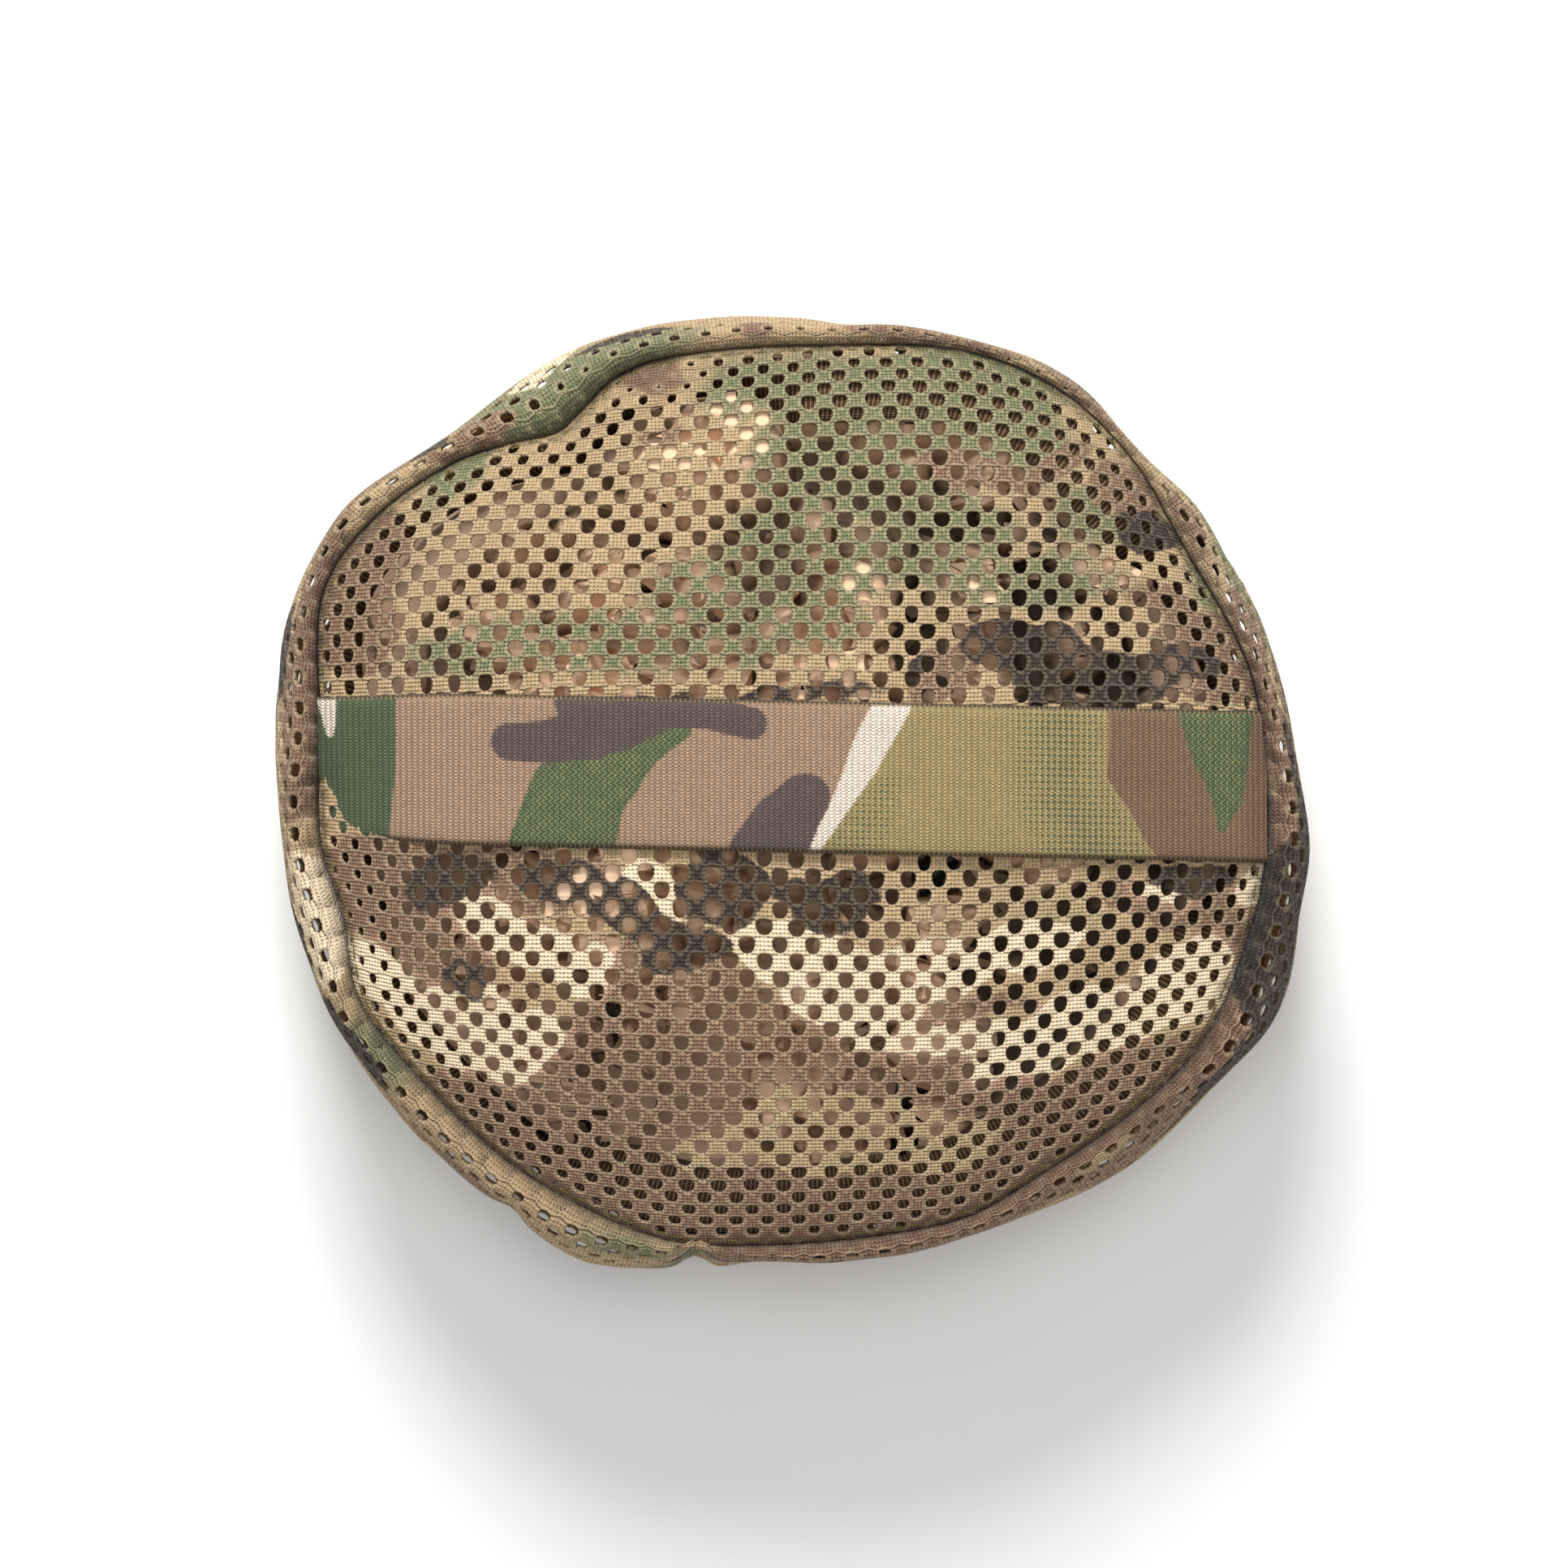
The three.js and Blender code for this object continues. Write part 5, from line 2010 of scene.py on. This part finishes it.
@dataclass(frozen=True)
class Hollow:
    """A valley in the paper, by its middle, its half lengths and how far it leans to the right."""

    x: float
    y: float
    wide: float
    tall: float
    lean: float = 0.0

    def share_at(self, x: Array, y: Array) -> Array:
        """Share of its full depth at each point in plan."""
        aside = x - self.x - self.lean * (y - self.y)
        return bump_at(aside, self.wide) * bump_at(y - self.y, self.tall)


@dataclass(frozen=True)
class Creases:
    """One size of facet: distance between their sites, how far one is pushed, and their steepness."""

    spacing: float
    height: float
    slope: float


@dataclass
class Filling:
    """Crumpled kraft paper: each wad is its CAD space, folded into sharp facets."""

    shape: PouchShape
    paper: Material
    voxel: float = 1.5
    gap: float = 0.8
    seed: int = 71
    wads: tuple[str, ...] = ("left", "middle", "right")
    hollow_depth: float = 11.0
    hollows: tuple[Hollow, ...] = (
        Hollow(48, -32, 7.5, 24, 0.2),
        Hollow(63, -24, 8, 9),
        Hollow(2, 38, 3.2, 9, -0.1),
        Hollow(-44, 49, 6, 4, 0.4),
        Hollow(-58, -46, 6, 9),
    )
    creases: tuple[Creases, ...] = (
        Creases(24.0, 3.6, 0.26),
        Creases(11.0, 3.4, 0.5),
        Creases(6.0, 1.1, 0.34),
    )
    furthest_in: float = 12.0
    furthest_out: float = 6.0
    darkest: float = 1.15
    fill: float = 0.4

    def build(self) -> None:
        """Makes and dresses the wads."""
        for order, name in enumerate(self.wads):
            piece = copy_node(f"paper_wad_{name}", f"crumpled_paper_{name}")
            remesh = piece.modifiers.new("even", "REMESH")
            remesh.mode, remesh.voxel_size = "VOXEL", self.voxel * MM
            apply_modifiers(piece)
            self._crumple(piece, self.seed + order)
            bpy.ops.object.shade_smooth_by_angle(angle=math.radians(24))
            dress(piece, self.paper, f"paper_wad_{name}")

    def _crumple(self, piece: Object, seed: int) -> None:
        """Pushes the surface in and out along its normals, in facets of three sizes.

        Args:
            piece: The wad.
            seed: Seed of its folds.
        """
        mesh = piece.data
        count = len(mesh.vertices)
        points, normals = np.empty(count * 3), np.empty(count * 3)
        mesh.vertices.foreach_get("co", points)
        mesh.vertices.foreach_get("normal", normals)
        points, normals = points.reshape(-1, 3) / MM, normals.reshape(-1, 3)
        rng = np.random.default_rng(seed)
        x, y, _ = points.T
        push = 6.6 * spot_at(x, y, (8, 36), (58, 58 / 1.3)) - 0.5 - self._sag(x, y)
        for hollow in self.hollows:
            push -= self.hollow_depth * hollow.share_at(x, y)
        for crease in self.creases:
            push += self._facets(points, rng, crease)
        by_wall = ease(np.hypot(x, y) / self.shape.bulge(np.arctan2(y, x)), 0.72, 0.86)
        push = np.clip(push, 8.5 * by_wall - self.furthest_in, self.furthest_out)
        pushed = points + normals * push[:, None]
        moved = self.shape.hold_in(pushed, self.gap)
        mesh.vertices.foreach_set("co", (moved * MM).ravel())
        mesh.update()
        # Painted shade, stored as the depth layer: little light gets into the deepest folds, least of all at
        # the right and in the upper half, and the paper is darkened there.
        right = ease(x, 14, 40)
        depth = ease(-push, 1.5, 9.0) * (0.42 + 0.5 * right)
        depth += (0.1 + 0.5 * np.maximum(right, 0.8 * ease(y, 4, 24))) * ease(-push, 5.5, 9.5)
        depth += 0.7 * ease(np.hypot(*(moved - pushed)[:, :2].T), 2.0, 7.0)
        add_layer(piece, "depth", np.clip(depth, 0, self.darkest))

    def _sag(self, x: Array, y: Array) -> Array:
        """How far the paper has settled away from the skin, towards the bottom and the left."""
        below = ease(-y, 4, 24) * (1 - 0.6 * spot_at(x, y, (-16, -22), (18, 18)))
        return 3.4 * below + 2.0 * ease(-x, 34, 60) * (1 - below)

    def _facets(self, points: Array, rng: np.random.Generator, crease: Creases) -> Array:
        """Flat facets about random sites, meeting in sharp folds, with cracks between the low ones.

        Args:
            points: Where to read them.
            rng: Source of the sites.
            crease: Size of the facets.

        Returns:
            The push at each point.
        """
        spacing, height = crease.spacing, crease.height
        low, high = points.min(0) - spacing, points.max(0) + spacing
        axes = [np.arange(a, b, spacing) for a, b in zip(low, high)]
        sites = np.stack(np.meshgrid(*axes, indexing="ij"), -1).reshape(-1, 3)
        sites += rng.uniform(-0.5, 0.5, sites.shape) * spacing
        lean = rng.normal(0, crease.slope, sites.shape)
        level = rng.uniform(-height, height, len(sites))
        tree = KDTree(len(sites))
        for index, site in enumerate(sites):
            tree.insert(site, index)
        tree.balance()
        found = [tree.find_n(point, 2) for point in points.tolist()]
        near = np.array([[hit[1] for hit in pair] for pair in found])
        away = np.array([[hit[2] for hit in pair] for pair in found])
        tilted = level[near] + ((points[:, None] - sites[near]) * lean[near]).sum(2)
        apart = away[:, 1] - away[:, 0]
        share = 0.5 * (1 - ease(apart, 0, spacing * 0.14))
        crack = bump_at(apart, 0.26 * spacing) * ease(-level[near].sum(1) / height, -0.9, -0.1)
        return tilted[:, 0] * (1 - share) + tilted[:, 1] * share - 2.6 * height * crack


# ---- studio


@dataclass
class Studio:
    """Floor, lights, world and the camera over the pouch."""

    camera_place: tuple[float, float, float] = (-0.0017, 0.0014, 1.11)
    lens: float = 143.5
    sensor: float = 36.0
    floor_half: float = 2.0
    world: float = 0.35

    def build(self) -> None:
        """Makes the studio."""
        self._floor()
        self._lights()
        self._camera()

    def _floor(self) -> None:
        """Makes the pale floor, just under the pouch."""
        h = self.floor_half / MM
        corners = np.array([[-h, -h, 0], [h, -h, 0], [h, h, 0], [-h, h, 0]])
        floor = mesh_object("floor", corners, [[0, 1, 2, 3]])
        floor.data.materials.append(StudioFloor().material())

    def _lights(self) -> None:
        """Makes a large key softbox towards the top edge, a low fill and an even world."""
        for name, place, size, power in (
            ("key", (-0.12, 0.95, 0.85), 0.5, 16.5),
            ("fill", (0.3, -0.9, 0.9), 1.2, 2.0),
            ("overhead", (0.0, 0.15, 1.6), 0.7, 7.5),
        ):
            lamp = bpy.data.lights.new(name, "AREA")
            lamp.shape, lamp.size, lamp.energy = "DISK", size, power
            made = bpy.data.objects.new(name, lamp)
            made.location = place
            aim = made.location.copy()
            aim.negate()
            made.rotation_euler = aim.to_track_quat("-Z", "Y").to_euler()
            bpy.context.scene.collection.objects.link(made)
        world = bpy.context.scene.world or bpy.data.worlds.new("studio")
        bpy.context.scene.world = world
        world.use_nodes = True
        ground = world.node_tree.nodes["Background"]
        ground.inputs["Color"].default_value = (1.0, 1.0, 1.0, 1.0)
        ground.inputs["Strength"].default_value = self.world

    def _camera(self) -> None:
        """Makes the camera, looking straight down with the pouch's top edge up."""
        data = bpy.data.cameras.new("camera")
        data.lens, data.sensor_width = self.lens, self.sensor
        camera = bpy.data.objects.new("camera", data)
        camera.location = self.camera_place
        bpy.context.scene.collection.objects.link(camera)
        bpy.context.scene.camera = camera


def main() -> None:
    """Builds the pouch's looks around the frame, piece by piece."""
    logging.basicConfig(level=logging.INFO, format="%(name)s %(message)s")
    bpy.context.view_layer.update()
    bpy.context.scene.view_settings.view_transform = "Standard"
    Studio().build()
    shape = PouchShape()
    # The grosgrain's second colour is a painted highlight on the rib crests.
    grosgrain = RibbedTape("dark_grosgrain", tint(74, 56, 40), tint(150, 118, 80)).material()
    skin = Skin(shape, PrintedKnit().material())
    for part in (
        skin,
        Strap(shape, JacquardWeb().material()),
        Bindings(shape, grosgrain),
        Stitching(shape, skin.window(), SpunThread().material()),
        Zip(shape, CoilNylon().material(), BlackenedMetal().material(), TwillTape().material()),
        Filling(shape, KraftPaper().material()),
    ):
        part.build()


if __name__ == "__main__":
    main()
